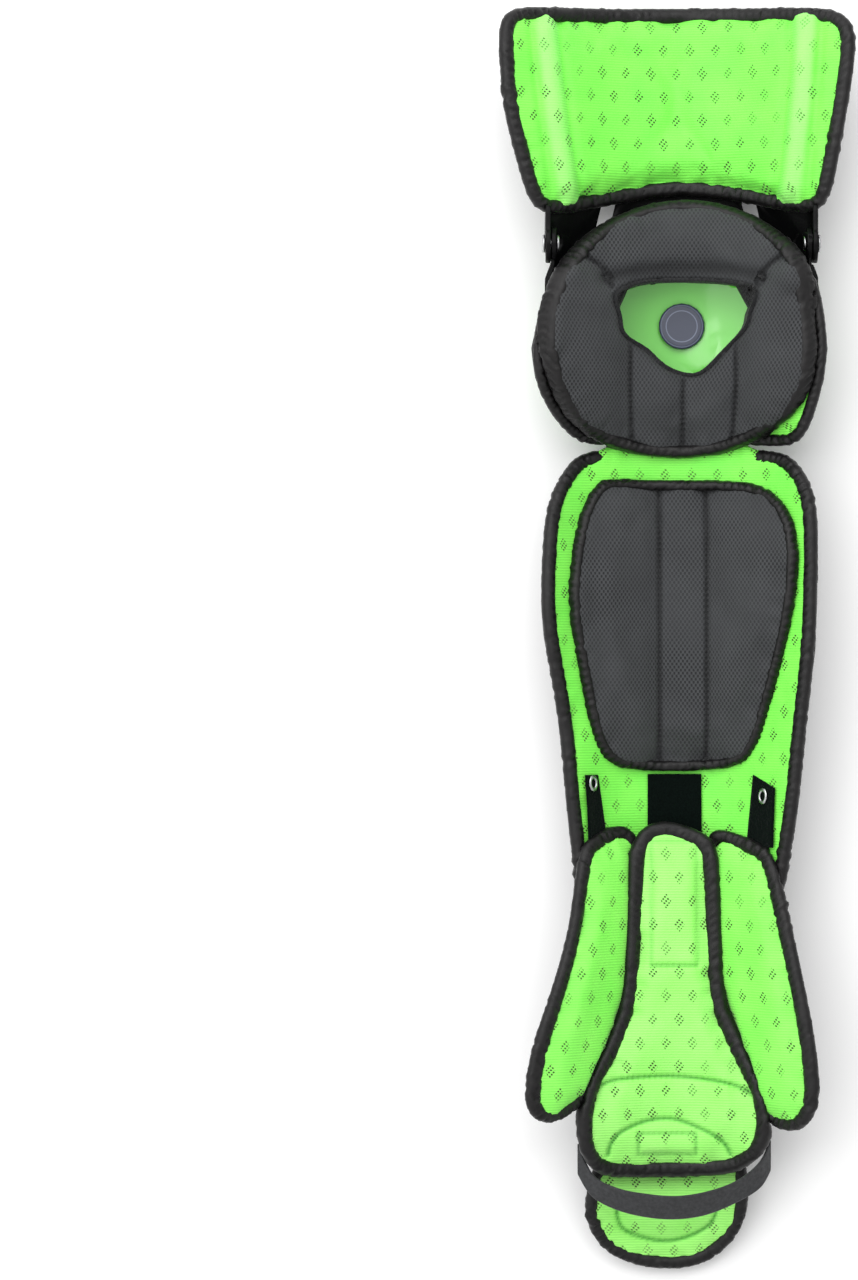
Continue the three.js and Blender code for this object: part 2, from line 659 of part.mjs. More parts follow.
// Shin liner with its binding, and the black shell under it
const SHIN_OUTLINE = [
  [-0.3, -0.004], [0.3, -0.004], [0.7, 0], [0.78, 0.03], [0.81, 0.1], [0.876, 0.23], [0.92, 0.4],
  [0.985, 0.56], [1.003, 0.745], [1.003, 0.85], [0.98, 0.904], [0.93, 0.945], [0.84, 0.985],
  [0.7, 0.998], [0.4, 1], [0, 1], [-0.4, 1], [-0.69, 0.997], [-0.81, 0.955], [-0.9, 0.904],
  [-0.945, 0.85], [-0.965, 0.77], [-0.975, 0.665], [-0.955, 0.585], [-0.87, 0.45], [-0.825, 0.345],
  [-0.8, 0.23], [-0.745, 0.1], [-0.74, 0.03], [-0.66, 0],
];
const shinLiner = makePad({
  form: legForm,
  points: SHIN_OUTLINE,
  place: { low: shinEnd, width: SHIN_WIDTH, length: SHIN_LENGTH },
  spine: [[0, shinEnd + 0.25 * SHIN_LENGTH], [0, shinEnd + 0.75 * SHIN_LENGTH]],
  rim: LINER_THICKNESS,
  middle: LINER_THICKNESS,
});
const shinRoom = shinLiner.room();
const overLiners = (solid) => solid.subtract(kneeRoom).subtract(shinRoom);
addPiece(lowerLeg, 'shin_liner', shinLiner.pad(), 'greenMesh');
addPiece(lowerLeg, 'shin_liner_binding', shinLiner.binding(), 'tape');
addPiece(lowerLeg, 'shin_shell', shinLiner.shell(), 'blackPlastic');
addPiece(lowerLeg, 'knee_frame', kneeFrame, 'blackPlastic');
addPiece(lowerLeg, 'knee_pad', overLiners(kneePad.pad()), 'darkMesh');
addPiece(lowerLeg, 'knee_pad_binding', overLiners(kneePad.binding()), 'tape');

// Green knee cap outside the frame, cut flat where the guard rests on it
const CAP_OUTLINE = [
  [0, 0], [0.5, 0.03], [0.85, 0.16], [1, 0.4], [0.98, 0.66], [0.82, 0.88], [0.45, 0.99],
  [0, 1], [-0.45, 0.99], [-0.82, 0.88], [-0.98, 0.66], [-1, 0.4], [-0.85, 0.16], [-0.5, 0.03],
];
const capLow = waist + CAP_RISE;
const capMiddle = capLow + 0.5 * CAP_LENGTH;
const capPlace = { low: capLow, width: CAP_WIDTH, length: CAP_LENGTH };
const capOutline = smoothOutline(placed(CAP_OUTLINE, capPlace), 1);
const capSpine = [[0, capMiddle - 0.1 * CAP_LENGTH], [0, capMiddle + 0.1 * CAP_LENGTH]];
const capTop = -GAP - SHELL_THICKNESS - CAP_GAP;
const floor = boxBetween(
  [-CAP_WIDTH, capLow - CAP_LENGTH, -LEG_DEPTH],
  [CAP_WIDTH, capLow + 2 * CAP_LENGTH, CAP_FLAT],
);
const kneeCap = sheet(legForm, capOutline, capSpine, capTop - SHELL_THICKNESS, capTop)
  .subtract(floor)
  .subtract(kneeLiner.shellRoom());
addPiece(lowerLeg, 'knee_cap', kneeCap, 'greenPlastic');

const badge = new THREE.CylinderGeometry(BADGE_RADIUS - SEAM, BADGE_RADIUS, 2 * BADGE_THICKNESS, BADGE_SIDES);
badge.rotateX(-Math.PI / 2);
badge.translate(windowCentre.x, windowAlong + 0.04 * WINDOW_LENGTH, stack + capTop + 2 * BADGE_THICKNESS);
const badgeSeat = sheet(legForm, capOutline, capSpine, capTop - SHELL_THICKNESS, capTop + GAP);
addPiece(lowerLeg, 'knee_badge', toSolid(badge).subtract(badgeSeat), 'badgePlastic');

// Shin pad
const SHIN_PAD_OUTLINE = [
  [-0.28, 0], [0.13, 0], [0.44, 0.01], [0.6, 0.04], [0.7, 0.11], [0.79, 0.24], [0.88, 0.38], [0.94, 0.49],
  [0.985, 0.61], [1, 0.73], [0.975, 0.83], [0.9, 0.9], [0.78, 0.95], [0.62, 0.975], [0.33, 0.985],
  [-0.25, 0.985], [-0.5, 0.99], [-0.7, 0.985], [-0.81, 0.935], [-0.89, 0.86], [-0.95, 0.76],
  [-0.99, 0.61], [-0.97, 0.5], [-0.9, 0.34], [-0.83, 0.2], [-0.76, 0.1], [-0.68, 0.045], [-0.55, 0.012],
];
const shinPadLow = shinPadTop - SHIN_PAD_LENGTH;
const shinPad = makePad({
  form: legForm,
  points: SHIN_PAD_OUTLINE,
  place: { centre: SHIN_PAD_SHIFT, low: shinPadLow, width: SHIN_PAD_WIDTH, length: SHIN_PAD_LENGTH },
  spine: [0.3, 0.7].map((share) => [SHIN_PAD_SHIFT, shinPadLow + share * SHIN_PAD_LENGTH]),
  width: SHIN_BINDING_WIDTH,
  base: LINER_THICKNESS + GAP,
  sink: PAD_SINK,
  rim: PAD_RIM * SHIN_PAD_THICKNESS,
  middle: SHIN_PAD_THICKNESS,
});
addPiece(lowerLeg, 'shin_pad', shinPad.pad().subtract(shinRoom), 'darkMesh');
addPiece(lowerLeg, 'shin_pad_binding', shinPad.binding().subtract(shinRoom), 'tape');

// Hook strips that join the shin to the ankle. Each end of a strip lies at a share of half the
// shin's width, and is a share of the strip's size wide. The drop is how much lower the
// right corner of its top is than the left, as a share of its size.
const HOOKS = [
  { name: 'centre', size: CENTRE_HOOK_WIDTH, lowAcross: 0, lowWidth: 1, topAcross: 0, topWidth: 1, drop: 0 },
  { name: 'left', size: SIDE_HOOK_WIDTH, lowAcross: -0.56, lowWidth: 0.9, topAcross: -0.61, topWidth: 0.6,
    drop: 0 },
  { name: 'right', size: SIDE_HOOK_WIDTH, lowAcross: 0.6, lowWidth: 1.15, topAcross: 0.635, topWidth: 0.97,
    drop: 0.6 },
];
const hookEnd = ankle - HOOK_OVERLAP;
const hookTop = shinPadLow - HOOK_SETBACK;
const STEPS_ALONG_EDGE = [0, 0.33, 0.67];

function hookOutline({ size, lowAcross, lowWidth, topAcross, topWidth, drop }) {
  const corner = (across, width, side, y) => ({ x: across * SHIN_WIDTH / 2 + side * width * size / 2, y });
  const corners = [
    corner(lowAcross, lowWidth, -1, hookEnd),
    corner(lowAcross, lowWidth, 1, hookEnd),
    corner(topAcross, topWidth, 1, hookTop - drop * size),
    corner(topAcross, topWidth, -1, hookTop),
  ];
  const edges = corners.flatMap((from, i) => {
    const to = corners[(i + 1) % corners.length];
    return STEPS_ALONG_EDGE.map((share) => (
      { x: from.x + share * (to.x - from.x), y: from.y + share * (to.y - from.y) }));
  });
  return drawnAbove(legForm, edges, LINER_THICKNESS);
}

function hookSolid(outline, height) {
  const middle = {
    x: outline.reduce((sum, point) => sum + point.x, 0) / outline.length,
    y: outline.reduce((sum, point) => sum + point.y, 0) / outline.length,
  };
  const low = LINER_THICKNESS - PAD_SINK / 2;
  const top = LINER_THICKNESS + height;
  return toSolid(layer(legForm, [outline], middle, [low, low], [top, top]));
}

const hookRooms = HOOKS.map((hook) => {
  const outline = hookOutline(hook);
  const strip = hookSolid(outline, GAP + HOOK_THICKNESS).subtract(shinRoom);
  addPiece(lowerLeg, `${hook.name}_hook_strip`, strip, 'hook');
  return hookSolid(inset(legForm, outline, -GAP), 2 * GAP + HOOK_THICKNESS);
});
const hookRoom = wasm.Manifold.union(hookRooms);

// An eyelet near the top of each side strip
const EYELET_PROFILE = [
  { radius: EYELET_HOLE_RADIUS, height: -EYELET_THICKNESS },
  { radius: EYELET_RADIUS, height: -EYELET_THICKNESS },
  { radius: EYELET_RADIUS, height: 0.6 * EYELET_THICKNESS },
  { radius: 0.7 * EYELET_RADIUS, height: EYELET_THICKNESS },
  { radius: EYELET_HOLE_RADIUS, height: 0.6 * EYELET_THICKNESS },
  { radius: EYELET_HOLE_RADIUS, height: -EYELET_THICKNESS },
].map(({ radius, height }) => new THREE.Vector2(radius, height));

function seated(ring, seat, normal) {
  ring.rotateX(Math.PI / 2);
  ring.scale(1, EYELET_STRETCH, 1);
  ring.applyQuaternion(new THREE.Quaternion().setFromUnitVectors(new THREE.Vector3(0, 0, 1), normal));
  ring.translate(seat.x, seat.y, seat.z);
  return toSolid(ring);
}

const eyeletRooms = HOOKS.flatMap(({ name, topAcross, drop, size }, i) => {
  if (name === 'centre') return [];
  const shown = { x: topAcross * SHIN_WIDTH / 2, y: hookTop - drop * size - EYELET_STRETCH * EYELET_RADIUS };
  const [foot] = drawnAbove(legForm, [shown], LINER_THICKNESS);
  const { point, normal } = onForm(legForm, foot.x, foot.y);
  const seat = point.addScaledVector(normal, LINER_THICKNESS + HOOK_THICKNESS + 2 * GAP);
  const eyelet = seated(new THREE.LatheGeometry(EYELET_PROFILE, EYELET_SIDES), seat, normal);
  addPiece(lowerLeg, `${name}_eyelet`, eyelet.subtract(hookRooms[i]).subtract(shinRoom), 'steel');
  const reach = EYELET_RADIUS + 2 * GAP;
  const height = 2 * (EYELET_THICKNESS + GAP);
  return [seated(new THREE.CylinderGeometry(reach, reach, height, EYELET_SIDES), seat, normal)];
});
const stripRoom = wasm.Manifold.union([hookRoom, ...eyeletRooms]);

// Ankle wings with their bindings and plates
const WINGS = [
  { name: 'left', spine: [[-0.62, 0.3], [-0.45, 0.8]], points: [
    [-0.28, 0.988], [-0.49, 0.976], [-0.617, 0.938], [-0.667, 0.9], [-0.706, 0.789], [-0.74, 0.65],
    [-0.86, 0.459], [-0.94, 0.353], [-0.998, 0.26], [-1.036, 0.135], [-1.017, 0.073],
    [-0.92, 0.028], [-0.767, 0.051], [-0.6, 0.116], [-0.52, 0.21], [-0.4, 0.326],
    [-0.28, 0.442], [-0.235, 0.616], [-0.23, 0.82]] },
  { name: 'right', spine: [[0.62, 0.3], [0.45, 0.8]], points: [
    [0.22, 0.987], [0.215, 0.79], [0.225, 0.558], [0.28, 0.436], [0.4, 0.32], [0.506, 0.19], [0.554, 0.093],
    [0.663, 0.017], [0.796, 0], [0.876, 0.022], [0.943, 0.073], [0.957, 0.157], [0.923, 0.299],
    [0.876, 0.427], [0.79, 0.63], [0.689, 0.859], [0.636, 0.91], [0.516, 0.942]] },
];
const wingPlace = { low: ankle - WING_LENGTH, width: WING_SPAN, length: WING_LENGTH };
const wingRooms = WINGS.map(({ name, spine, points }) => {
  const wing = makePad({
    form: wingForm,
    points,
    place: wingPlace,
    spine: placed(spine, wingPlace),
    rim: 0.75 * WING_THICKNESS,
    middle: WING_THICKNESS,
  });
  const onShin = (solid) => biggest(solid.subtract(shinRoom).subtract(stripRoom));
  addPiece(lowerLeg, `ankle_wing_${name}`, onShin(wing.pad()), 'greenMesh');
  addPiece(lowerLeg, `ankle_wing_binding_${name}`, onShin(wing.binding()), 'tape');
  addPiece(lowerLeg, `ankle_plate_${name}`, onShin(wing.shell()), 'blackPlastic');
  return wing.room();
});
const wingRoom = wasm.Manifold.union(wingRooms);

// Instep tongue with its binding and the plate under it
const TONGUE_OUTLINE = [
  [-0.484, 0.911], [-0.508, 0.74], [-0.534, 0.555], [-0.587, 0.469], [-0.759, 0.362],
  [-0.934, 0.285], [-1.007, 0.208], [-1.018, 0.121], [-0.97, 0.06], [-0.829, 0.015], [-0.623, 0.001],
  [-0.036, 0.001], [0.584, 0.007], [0.755, 0.035], [0.946, 0.083], [0.98, 0.17], [0.946, 0.247],
  [0.791, 0.334], [0.654, 0.41], [0.532, 0.478], [0.486, 0.555], [0.468, 0.74],
  [0.446, 0.893], [0.377, 0.951], [0.236, 0.975], [-0.036, 0.999], [-0.277, 0.995], [-0.396, 0.965],
];
const tongue = makePad({
  form: tongueForm,
  points: TONGUE_OUTLINE,
  place: { low: tongueEnd, width: TONGUE_WIDTH, length: TONGUE_LENGTH },
  spine: [[0, tongueEnd + 0.22 * TONGUE_LENGTH], [0, tongueEnd + 0.88 * TONGUE_LENGTH]],
  width: TONGUE_BINDING_WIDTH,
  rim: 0.75 * TONGUE_THICKNESS,
  middle: TONGUE_THICKNESS,
});
const onAnkle = (solid) => biggest(solid.subtract(wingRoom).subtract(stripRoom).subtract(shinRoom));
addPiece(lowerLeg, 'instep_tongue', onAnkle(tongue.pad()), 'greenMesh');
addPiece(lowerLeg, 'instep_tongue_binding', onAnkle(tongue.binding()), 'tape');

// Toe flap with its binding and the plate under it
const TOE_OUTLINE = [
  [-0.967, 0.662], [-1, 0.532], [-0.967, 0.41], [-0.852, 0.272], [-0.737, 0.171], [-0.402, 0.045],
  [0.059, 0.004], [0.474, 0.045], [0.813, 0.226], [0.98, 0.45], [1, 0.62], [0.99, 0.855], [0.885, 0.97],
  [0.1, 1], [-0.77, 0.97], [-0.92, 0.855],
];
const toeMiddle = toeEnd + 0.55 * TOE_LENGTH;
const toe = makePad({
  form: toeForm,
  points: TOE_OUTLINE,
  place: { centre: TOE_SHIFT, low: toeEnd, width: TOE_WIDTH, length: TOE_LENGTH },
  spine: [-0.1, 0.1].map((share) => [TOE_SHIFT, toeMiddle + share * TOE_LENGTH]),
  width: TOE_BINDING_WIDTH,
  rim: 0.75 * TOE_THICKNESS,
  middle: TOE_THICKNESS,
});
addPiece(lowerLeg, 'toe_flap', toe.pad(), 'greenMesh');
addPiece(lowerLeg, 'toe_flap_binding', toe.binding(), 'tape');
addPiece(lowerLeg, 'toe_plate', toe.shell(), 'blackPlastic');
addPiece(lowerLeg, 'instep_plate', onAnkle(tongue.shell().subtract(toe.room())), 'blackPlastic');

// Elastic strap that passes under the foot, from one side of the tongue to the other. Across
// is a share of half the tongue's width, upper and lower are how far the strap's two edges
// lie past the tongue's end, as shares of its length, and the rises are shares of the strap's.
const STRAP_ROWS = [
  { across: -0.98, upper: -0.1, lower: -0.01, upperRise: 0, lowerRise: 0 },
  { across: -0.84, upper: -0.015, lower: 0.05, upperRise: 0.35, lowerRise: 0.2 },
  { across: -0.6, upper: 0.02, lower: 0.085, upperRise: 0.7, lowerRise: 0.4 },
  { across: -0.3, upper: 0.035, lower: 0.105, upperRise: 0.92, lowerRise: 0.5 },
  { across: 0, upper: 0.04, lower: 0.11, upperRise: 1, lowerRise: 0.55 },
  { across: 0.3, upper: 0.028, lower: 0.098, upperRise: 0.92, lowerRise: 0.5 },
  { across: 0.6, upper: 0, lower: 0.065, upperRise: 0.7, lowerRise: 0.4 },
  { across: 0.84, upper: -0.05, lower: 0.027, upperRise: 0.35, lowerRise: 0.2 },
  { across: 0.95, upper: -0.11, lower: -0.02, upperRise: 0, lowerRise: 0 },
];
const strapRoot = tongueForm(0.93 * tongueHalf, tongueEnd + 0.06 * TONGUE_LENGTH) - STRAP_SINK;

function strapEdge(row, past, rise) {
  return new THREE.Vector3(
    row.across * tongueHalf, tongueEnd - past * TONGUE_LENGTH, strapRoot + rise * STRAP_RISE);
}

function bandAlong(stations, thickness) {
  const points = stations.flatMap(({ upper, lower }, i) => {
    const before = stations[Math.max(i - 1, 0)];
    const after = stations[Math.min(i + 1, stations.length - 1)];
    const run = after.upper.clone().add(after.lower).sub(before.upper).sub(before.lower);
    const face = run.cross(lower.clone().sub(upper)).normalize().multiplyScalar(thickness / 2);
    return [
      upper.clone().add(face), lower.clone().add(face), lower.clone().sub(face), upper.clone().sub(face)];
  });
  const faces = [];
  for (let i = 0; i < stations.length - 1; i += 1) {
    for (let k = 0; k < 4; k += 1) {
      const [a, b] = [4 * i + k, 4 * i + (k + 1) % 4];
      faces.push(a, b + 4, b, a, a + 4, b + 4);
    }
  }
  const last = 4 * (stations.length - 1);
  faces.push(0, 1, 2, 0, 2, 3, last, last + 2, last + 1, last, last + 3, last + 2);
  const band = new THREE.BufferGeometry();
  const places = points.flatMap((point) => point.toArray());
  band.setAttribute('position', new THREE.Float32BufferAttribute(places, 3));
  band.setIndex(faces);
  return toSolid(band);
}

const strap = bandAlong(STRAP_ROWS.map((row) => ({
  upper: strapEdge(row, row.upper, row.upperRise),
  lower: strapEdge(row, row.lower, row.lowerRise),
})), STRAP_THICKNESS);
addPiece(lowerLeg, 'foot_strap', biggest(strap.subtract(tongue.room()).subtract(wingRoom)), 'hook');

// Origin under the middle of the guard, on the floor
const box = new THREE.Box3().setFromObject(guard);
guard.position.set(-(box.min.x + box.max.x) / 2, -(box.min.y + box.max.y) / 2, -box.min.z);

export default guard;
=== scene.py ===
# %% [markdown]
# # A catcher's leg guard
# This lesson dresses a baseball catcher's leg guard, lying with its padded inside up.
# A real one is a row of moulded plastic shells with foam pads sewn to their insides.
# The pads are covered in a green knitted mesh and a charcoal spacer mesh.
# Every edge is bound in satin tape.
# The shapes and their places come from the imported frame, in metres, so nothing has to be fitted by eye.

# %% Load the frame
import heapq
import json
import math
import bpy
import numpy as np
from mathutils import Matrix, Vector, noise
from mathutils.bvhtree import BVHTree
from mathutils.kdtree import KDTree

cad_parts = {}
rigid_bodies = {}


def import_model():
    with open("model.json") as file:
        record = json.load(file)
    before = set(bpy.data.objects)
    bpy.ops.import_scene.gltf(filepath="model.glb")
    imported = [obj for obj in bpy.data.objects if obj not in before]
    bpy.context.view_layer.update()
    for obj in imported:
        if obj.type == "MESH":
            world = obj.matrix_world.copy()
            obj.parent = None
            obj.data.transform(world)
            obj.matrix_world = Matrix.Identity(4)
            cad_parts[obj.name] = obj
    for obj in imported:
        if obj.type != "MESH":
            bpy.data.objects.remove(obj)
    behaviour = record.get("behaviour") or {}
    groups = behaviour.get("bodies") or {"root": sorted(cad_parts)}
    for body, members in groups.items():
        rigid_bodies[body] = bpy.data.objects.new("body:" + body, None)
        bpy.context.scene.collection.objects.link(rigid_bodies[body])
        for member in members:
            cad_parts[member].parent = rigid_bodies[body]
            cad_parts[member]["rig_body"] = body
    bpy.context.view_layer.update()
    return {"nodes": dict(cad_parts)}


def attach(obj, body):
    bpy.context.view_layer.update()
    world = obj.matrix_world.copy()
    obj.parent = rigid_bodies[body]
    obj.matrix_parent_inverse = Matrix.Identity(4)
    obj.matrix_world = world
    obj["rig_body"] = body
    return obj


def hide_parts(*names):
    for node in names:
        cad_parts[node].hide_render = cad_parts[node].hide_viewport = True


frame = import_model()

MM = 0.001
print("nodes in the frame:", len(frame["nodes"]))

# %% [markdown]
# ## The camera
# The photograph looks straight down on the guard, so the camera hangs over the middle of it.
# A long lens from three metres keeps the rims from leaning outwards, as in the photograph.

# %% Camera over the middle of the guard
PHOTO_HEIGHT = 0.7168      # metres that the long side of the frame takes in
CAMERA_AWAY = 3.0
GUARD_MIDDLE = (-0.1385, 0.0)

bpy.ops.object.camera_add(location=(GUARD_MIDDLE[0], GUARD_MIDDLE[1], CAMERA_AWAY), rotation=(0, 0, 0))
camera = bpy.context.object
camera.name = "overhead_camera"
camera.data.sensor_width = 36
camera.data.lens = 36 * (CAMERA_AWAY - 0.045) / PHOTO_HEIGHT
bpy.context.scene.camera = camera
print("lens in mm:", round(camera.data.lens, 1))

# %% [markdown]
# ## Reading and moving points
# Soft goods are easiest to shape by reading all points of a mesh as one table.
# They are moved together and written back.
# These few helpers do that, and pick one object for Blender's own operators.


# %% Helpers for objects and points
def pick(piece):
    """Makes a piece the only selected object, and the active one."""
    bpy.ops.object.select_all(action="DESELECT")
    piece.select_set(True)
    bpy.context.view_layer.objects.active = piece


def points_of(piece):
    """All points of a piece, one row each, in metres."""
    table = np.empty(len(piece.data.vertices) * 3)
    piece.data.vertices.foreach_get("co", table)
    return table.reshape(-1, 3)


def move_points(piece, table):
    """Writes a table of points back into a piece."""
    piece.data.vertices.foreach_set("co", np.asarray(table).ravel())
    piece.data.update()


def normals_of(piece):
    """The outward direction at each point of a piece."""
    table = np.empty(len(piece.data.vertices) * 3)
    piece.data.vertices.foreach_get("normal", table)
    return table.reshape(-1, 3)


def apply_modifier(piece, kind, **settings):
    """Adds one modifier to a piece, sets it and applies it."""
    pick(piece)
    modifier = piece.modifiers.new(kind.lower(), kind)
    for name, value in settings.items():
        setattr(modifier, name, value)
    bpy.ops.object.modifier_apply(modifier=modifier.name)


def line_of(pairs_mm):
    """A row of (x, y) places in millimetres as a table in metres."""
    return np.array(pairs_mm) * MM


def curve_through(pairs_mm, parts=5, closed=False):
    """A smooth curve through places in millimetres, as a table in metres."""
    line = line_of(pairs_mm)
    last = len(line) - 1
    curve = []
    for i in range(last + closed):
        near = [i - 1, i, i + 1, i + 2]
        a, b, c, d = (line[j % (last + 1)] if closed else line[min(max(j, 0), last)] for j in near)
        for t in np.arange(parts) / parts:
            curve.append(b + (c - a) * t / 2 + (2 * a - 5 * b + 4 * c - d) * t**2 / 2
                         + (3 * b - a - 3 * c + d) * t**3 / 2)
    return np.array(curve if closed else curve + [line[-1]])


def away_from(table, line, closed=False):
    """For each point, how far it is in plan from a line, and how far along the line its nearest place is."""
    ends = np.roll(line, -1, axis=0) if closed else line[1:]
    starts = line if closed else line[:-1]
    nearest = np.full(len(table), 1e9)
    along = np.zeros(len(table))
    passed = 0.0
    for start, end in zip(starts, ends):
        span = end - start
        length = np.hypot(*span)
        part = np.clip((table[:, :2] - start) @ span / length**2, 0, 1)
        gap = np.hypot(*(table[:, :2] - start - part[:, None] * span).T)
        closer = gap < nearest
        nearest[closer] = gap[closer]
        along[closer] = passed + part[closer] * length
        passed += length
    return nearest, along


def inside_of(table, line):
    """For each point, whether it lies inside a closed line in plan."""
    x, y = table[:, 0], table[:, 1]
    inside = np.zeros(len(table), bool)
    for (x0, y0), (x1, y1) in zip(line, np.roll(line, -1, axis=0)):
        crosses = (y0 > y) != (y1 > y)
        at = (x1 - x0) * (y - y0) / (y1 - y0 + 1e-12) + x0
        inside ^= crosses & (x < at)
    return inside


print("helpers are ready")

# %% [markdown]
# ## Adding shader nodes
# A material is a small tree of shader nodes.
# One function adds any node with its settings and links.
# So each material below reads as a list of what it is made of.


# %% One function for every shader node, and one for colours
def add_node(tree, kind, inputs=None, **settings):
    """Adds a node, sets its properties, and fills its inputs with values or with other nodes' outputs."""
    node = tree.nodes.new(kind)
    for name, value in settings.items():
        setattr(node, name, value)
    for key, value in (inputs or {}).items():
        if isinstance(value, bpy.types.NodeSocket):
            tree.links.new(value, node.inputs[key])
        else:
            node.inputs[key].default_value = value
    return node


def colour(code):
    """An sRGB hex colour as the linear colour that a shader needs."""
    parts = [int(code[i:i + 2], 16) / 255 for i in (0, 2, 4)]
    return tuple(c / 12.92 if c <= 0.04045 else ((c + 0.055) / 1.055) ** 2.4 for c in parts) + (1.0,)


def new_material(name, **shader_settings):
    """An empty material, with constant values set on its Principled shader's own sockets."""
    material = bpy.data.materials.new(name)
    material.use_nodes = True
    shader = material.node_tree.nodes["Principled BSDF"]
    for key, value in shader_settings.items():
        shader.inputs[key.replace("_", " ")].default_value = value
    return material, material.node_tree, shader


print("neon green in linear light:", [round(c, 3) for c in colour("8bff5a")[:3]])

# %% [markdown]
# ## Neon green warp-knit mesh
# The liner is a polyester warp knit with clusters of small eyelets, laid out in offset rows.
# The clusters stand 14.9 mm apart with 13.3 mm between rows, and each is a small diamond of nine or so holes.
# The pattern follows the cloth through a map called "cloth", in metres along the surface.

# %% Sizes of the green mesh, and three node helpers
CLUSTER_ACROSS = 0.0149
CLUSTER_ROW = 0.0133
CLUSTER_WIDE = 0.0030      # from the middle of a cluster to its side corner
CLUSTER_TALL = 0.0043
HOLE_ACROSS = 0.0027       # between holes of one row, which stand between those of the next
HOLE_ALONG = 0.0024        # between every other row
RIB_PITCH = 0.0015


def cloth_place(tree):
    """The way across and along the cloth, in metres."""
    place = add_node(tree, "ShaderNodeUVMap", uv_map="cloth")
    parts = add_node(tree, "ShaderNodeSeparateXYZ", {"Vector": place.outputs[0]})
    return place.outputs[0], parts.outputs["X"], parts.outputs["Y"]


def math_of(tree, operation, first, second=0.0, third=0.0):
    """The output of one Math node."""
    return add_node(tree, "ShaderNodeMath", {0: first, 1: second, 2: third}, operation=operation).outputs[0]


def marked(tree, name):
    """How strongly a mark such as "seam" holds at a place, from 0 to 1, and 0 on a piece without that mark."""
    return add_node(tree, "ShaderNodeAttribute", attribute_name=name).outputs["Fac"]


print("a cluster is", 2 * CLUSTER_WIDE, "m wide, and the clusters stand", CLUSTER_ACROSS, "m apart")

# %% [markdown]
# Ping-pong nodes measure the way to the nearest cluster.
# Two cosines multiplied give the staggered holes in it.
# Slow noise closes some of the holes a little, as they are in real cloth that has been pulled.


# %% Green mesh materials
def green_mesh(name, light, deep):
    """Neon knit with clusters of eyelets, in a lighter and a deeper shade that drift into each other."""
    material, tree, shader = new_material(name, Roughness=0.62, Sheen_Weight=0.15, Sheen_Roughness=0.4)
    place, across, along = cloth_place(tree)
    near_x = math_of(tree, "PINGPONG", across, CLUSTER_ACROSS / 2)
    near_y = math_of(tree, "PINGPONG", along, CLUSTER_ROW)
    tall = math_of(tree, "DIVIDE", near_y, CLUSTER_TALL)
    here = math_of(tree, "MULTIPLY_ADD", near_x, 1 / CLUSTER_WIDE, tall)
    total = CLUSTER_ACROSS / 2 / CLUSTER_WIDE + CLUSTER_ROW / CLUSTER_TALL
    there = math_of(tree, "SUBTRACT", total, here)
    cluster = math_of(tree, "LESS_THAN", math_of(tree, "MINIMUM", here, there), 1.0)
    slant = math_of(tree, "MULTIPLY_ADD", along, 0.3, across)
    wave_x = math_of(tree, "COSINE", math_of(tree, "MULTIPLY", slant, math.tau / HOLE_ACROSS))
    wave_y = math_of(tree, "COSINE", math_of(tree, "MULTIPLY", along, math.tau / HOLE_ALONG))
    grid = math_of(tree, "MULTIPLY", wave_x, wave_y)
    hole = add_node(tree, "ShaderNodeMapRange", {"Value": grid, "From Min": 0.0, "From Max": 0.5}).outputs[0]
    drift = add_node(tree, "ShaderNodeTexNoise", {"Vector": place, "Scale": 22.0}).outputs[0]
    open_part = add_node(tree, "ShaderNodeMapRange", {
        "Value": drift, "From Min": 0.36, "From Max": 0.56, "To Min": 0.55}).outputs[0]
    holes = math_of(tree, "MULTIPLY", math_of(tree, "MULTIPLY", hole, cluster), open_part)
    rib = math_of(tree, "SINE", math_of(tree, "MULTIPLY", along, math.tau / RIB_PITCH))
    soft = add_node(tree, "ShaderNodeTexNoise", {"Vector": place, "Scale": 38.0, "Detail": 3.0}).outputs[0]
    ground = add_node(tree, "ShaderNodeMix", {0: soft, 6: colour(deep), 7: colour(light)}, data_type="RGBA")
    # Painted shade: the valleys between the knit's ribs are drawn in a deeper green.
    rib_valley_shade = add_node(tree, "ShaderNodeMapRange", {
        "Value": rib, "From Min": -1.0, "To Min": 0.3, "To Max": 0.0}).outputs[0]
    rib_shaded = add_node(tree, "ShaderNodeMix", {
        0: rib_valley_shade, 6: ground.outputs[2], 7: colour("3fae2c")}, data_type="RGBA")
    # Painted highlight: where the ridge mark holds, the knit is drawn paler, as light catches the ridges.
    ridge_highlighted = add_node(tree, "ShaderNodeMix", {
        0: marked(tree, "fold"), 6: rib_shaded.outputs[2], 7: colour("c6ffa6")}, data_type="RGBA")
    holed = add_node(tree, "ShaderNodeMix", {
        0: holes, 6: ridge_highlighted.outputs[2], 7: colour("33480f")}, data_type="RGBA")
    # Painted shade: the seam mark darkens the knit along its seams.
    seam_shaded = add_node(tree, "ShaderNodeMix", {
        0: marked(tree, "seam"), 6: holed.outputs[2], 7: colour("2f8f22")}, data_type="RGBA")
    tree.links.new(seam_shaded.outputs[2], shader.inputs["Base Color"])
    thread = add_node(tree, "ShaderNodeTexNoise", {"Vector": place, "Scale": 900.0, "Detail": 2.0}).outputs[0]
    height = math_of(tree, "MULTIPLY_ADD", holes, -1.4, math_of(tree, "MULTIPLY_ADD", rib, 0.25, thread))
    bump = add_node(tree, "ShaderNodeBump", {"Height": height, "Strength": 0.45, "Distance": 0.0006})
    tree.links.new(bump.outputs[0], shader.inputs["Normal"])
    return material


green_knit = green_mesh("polyester_warp_knit_neon_green", light="94ff5e", deep="6cee48")
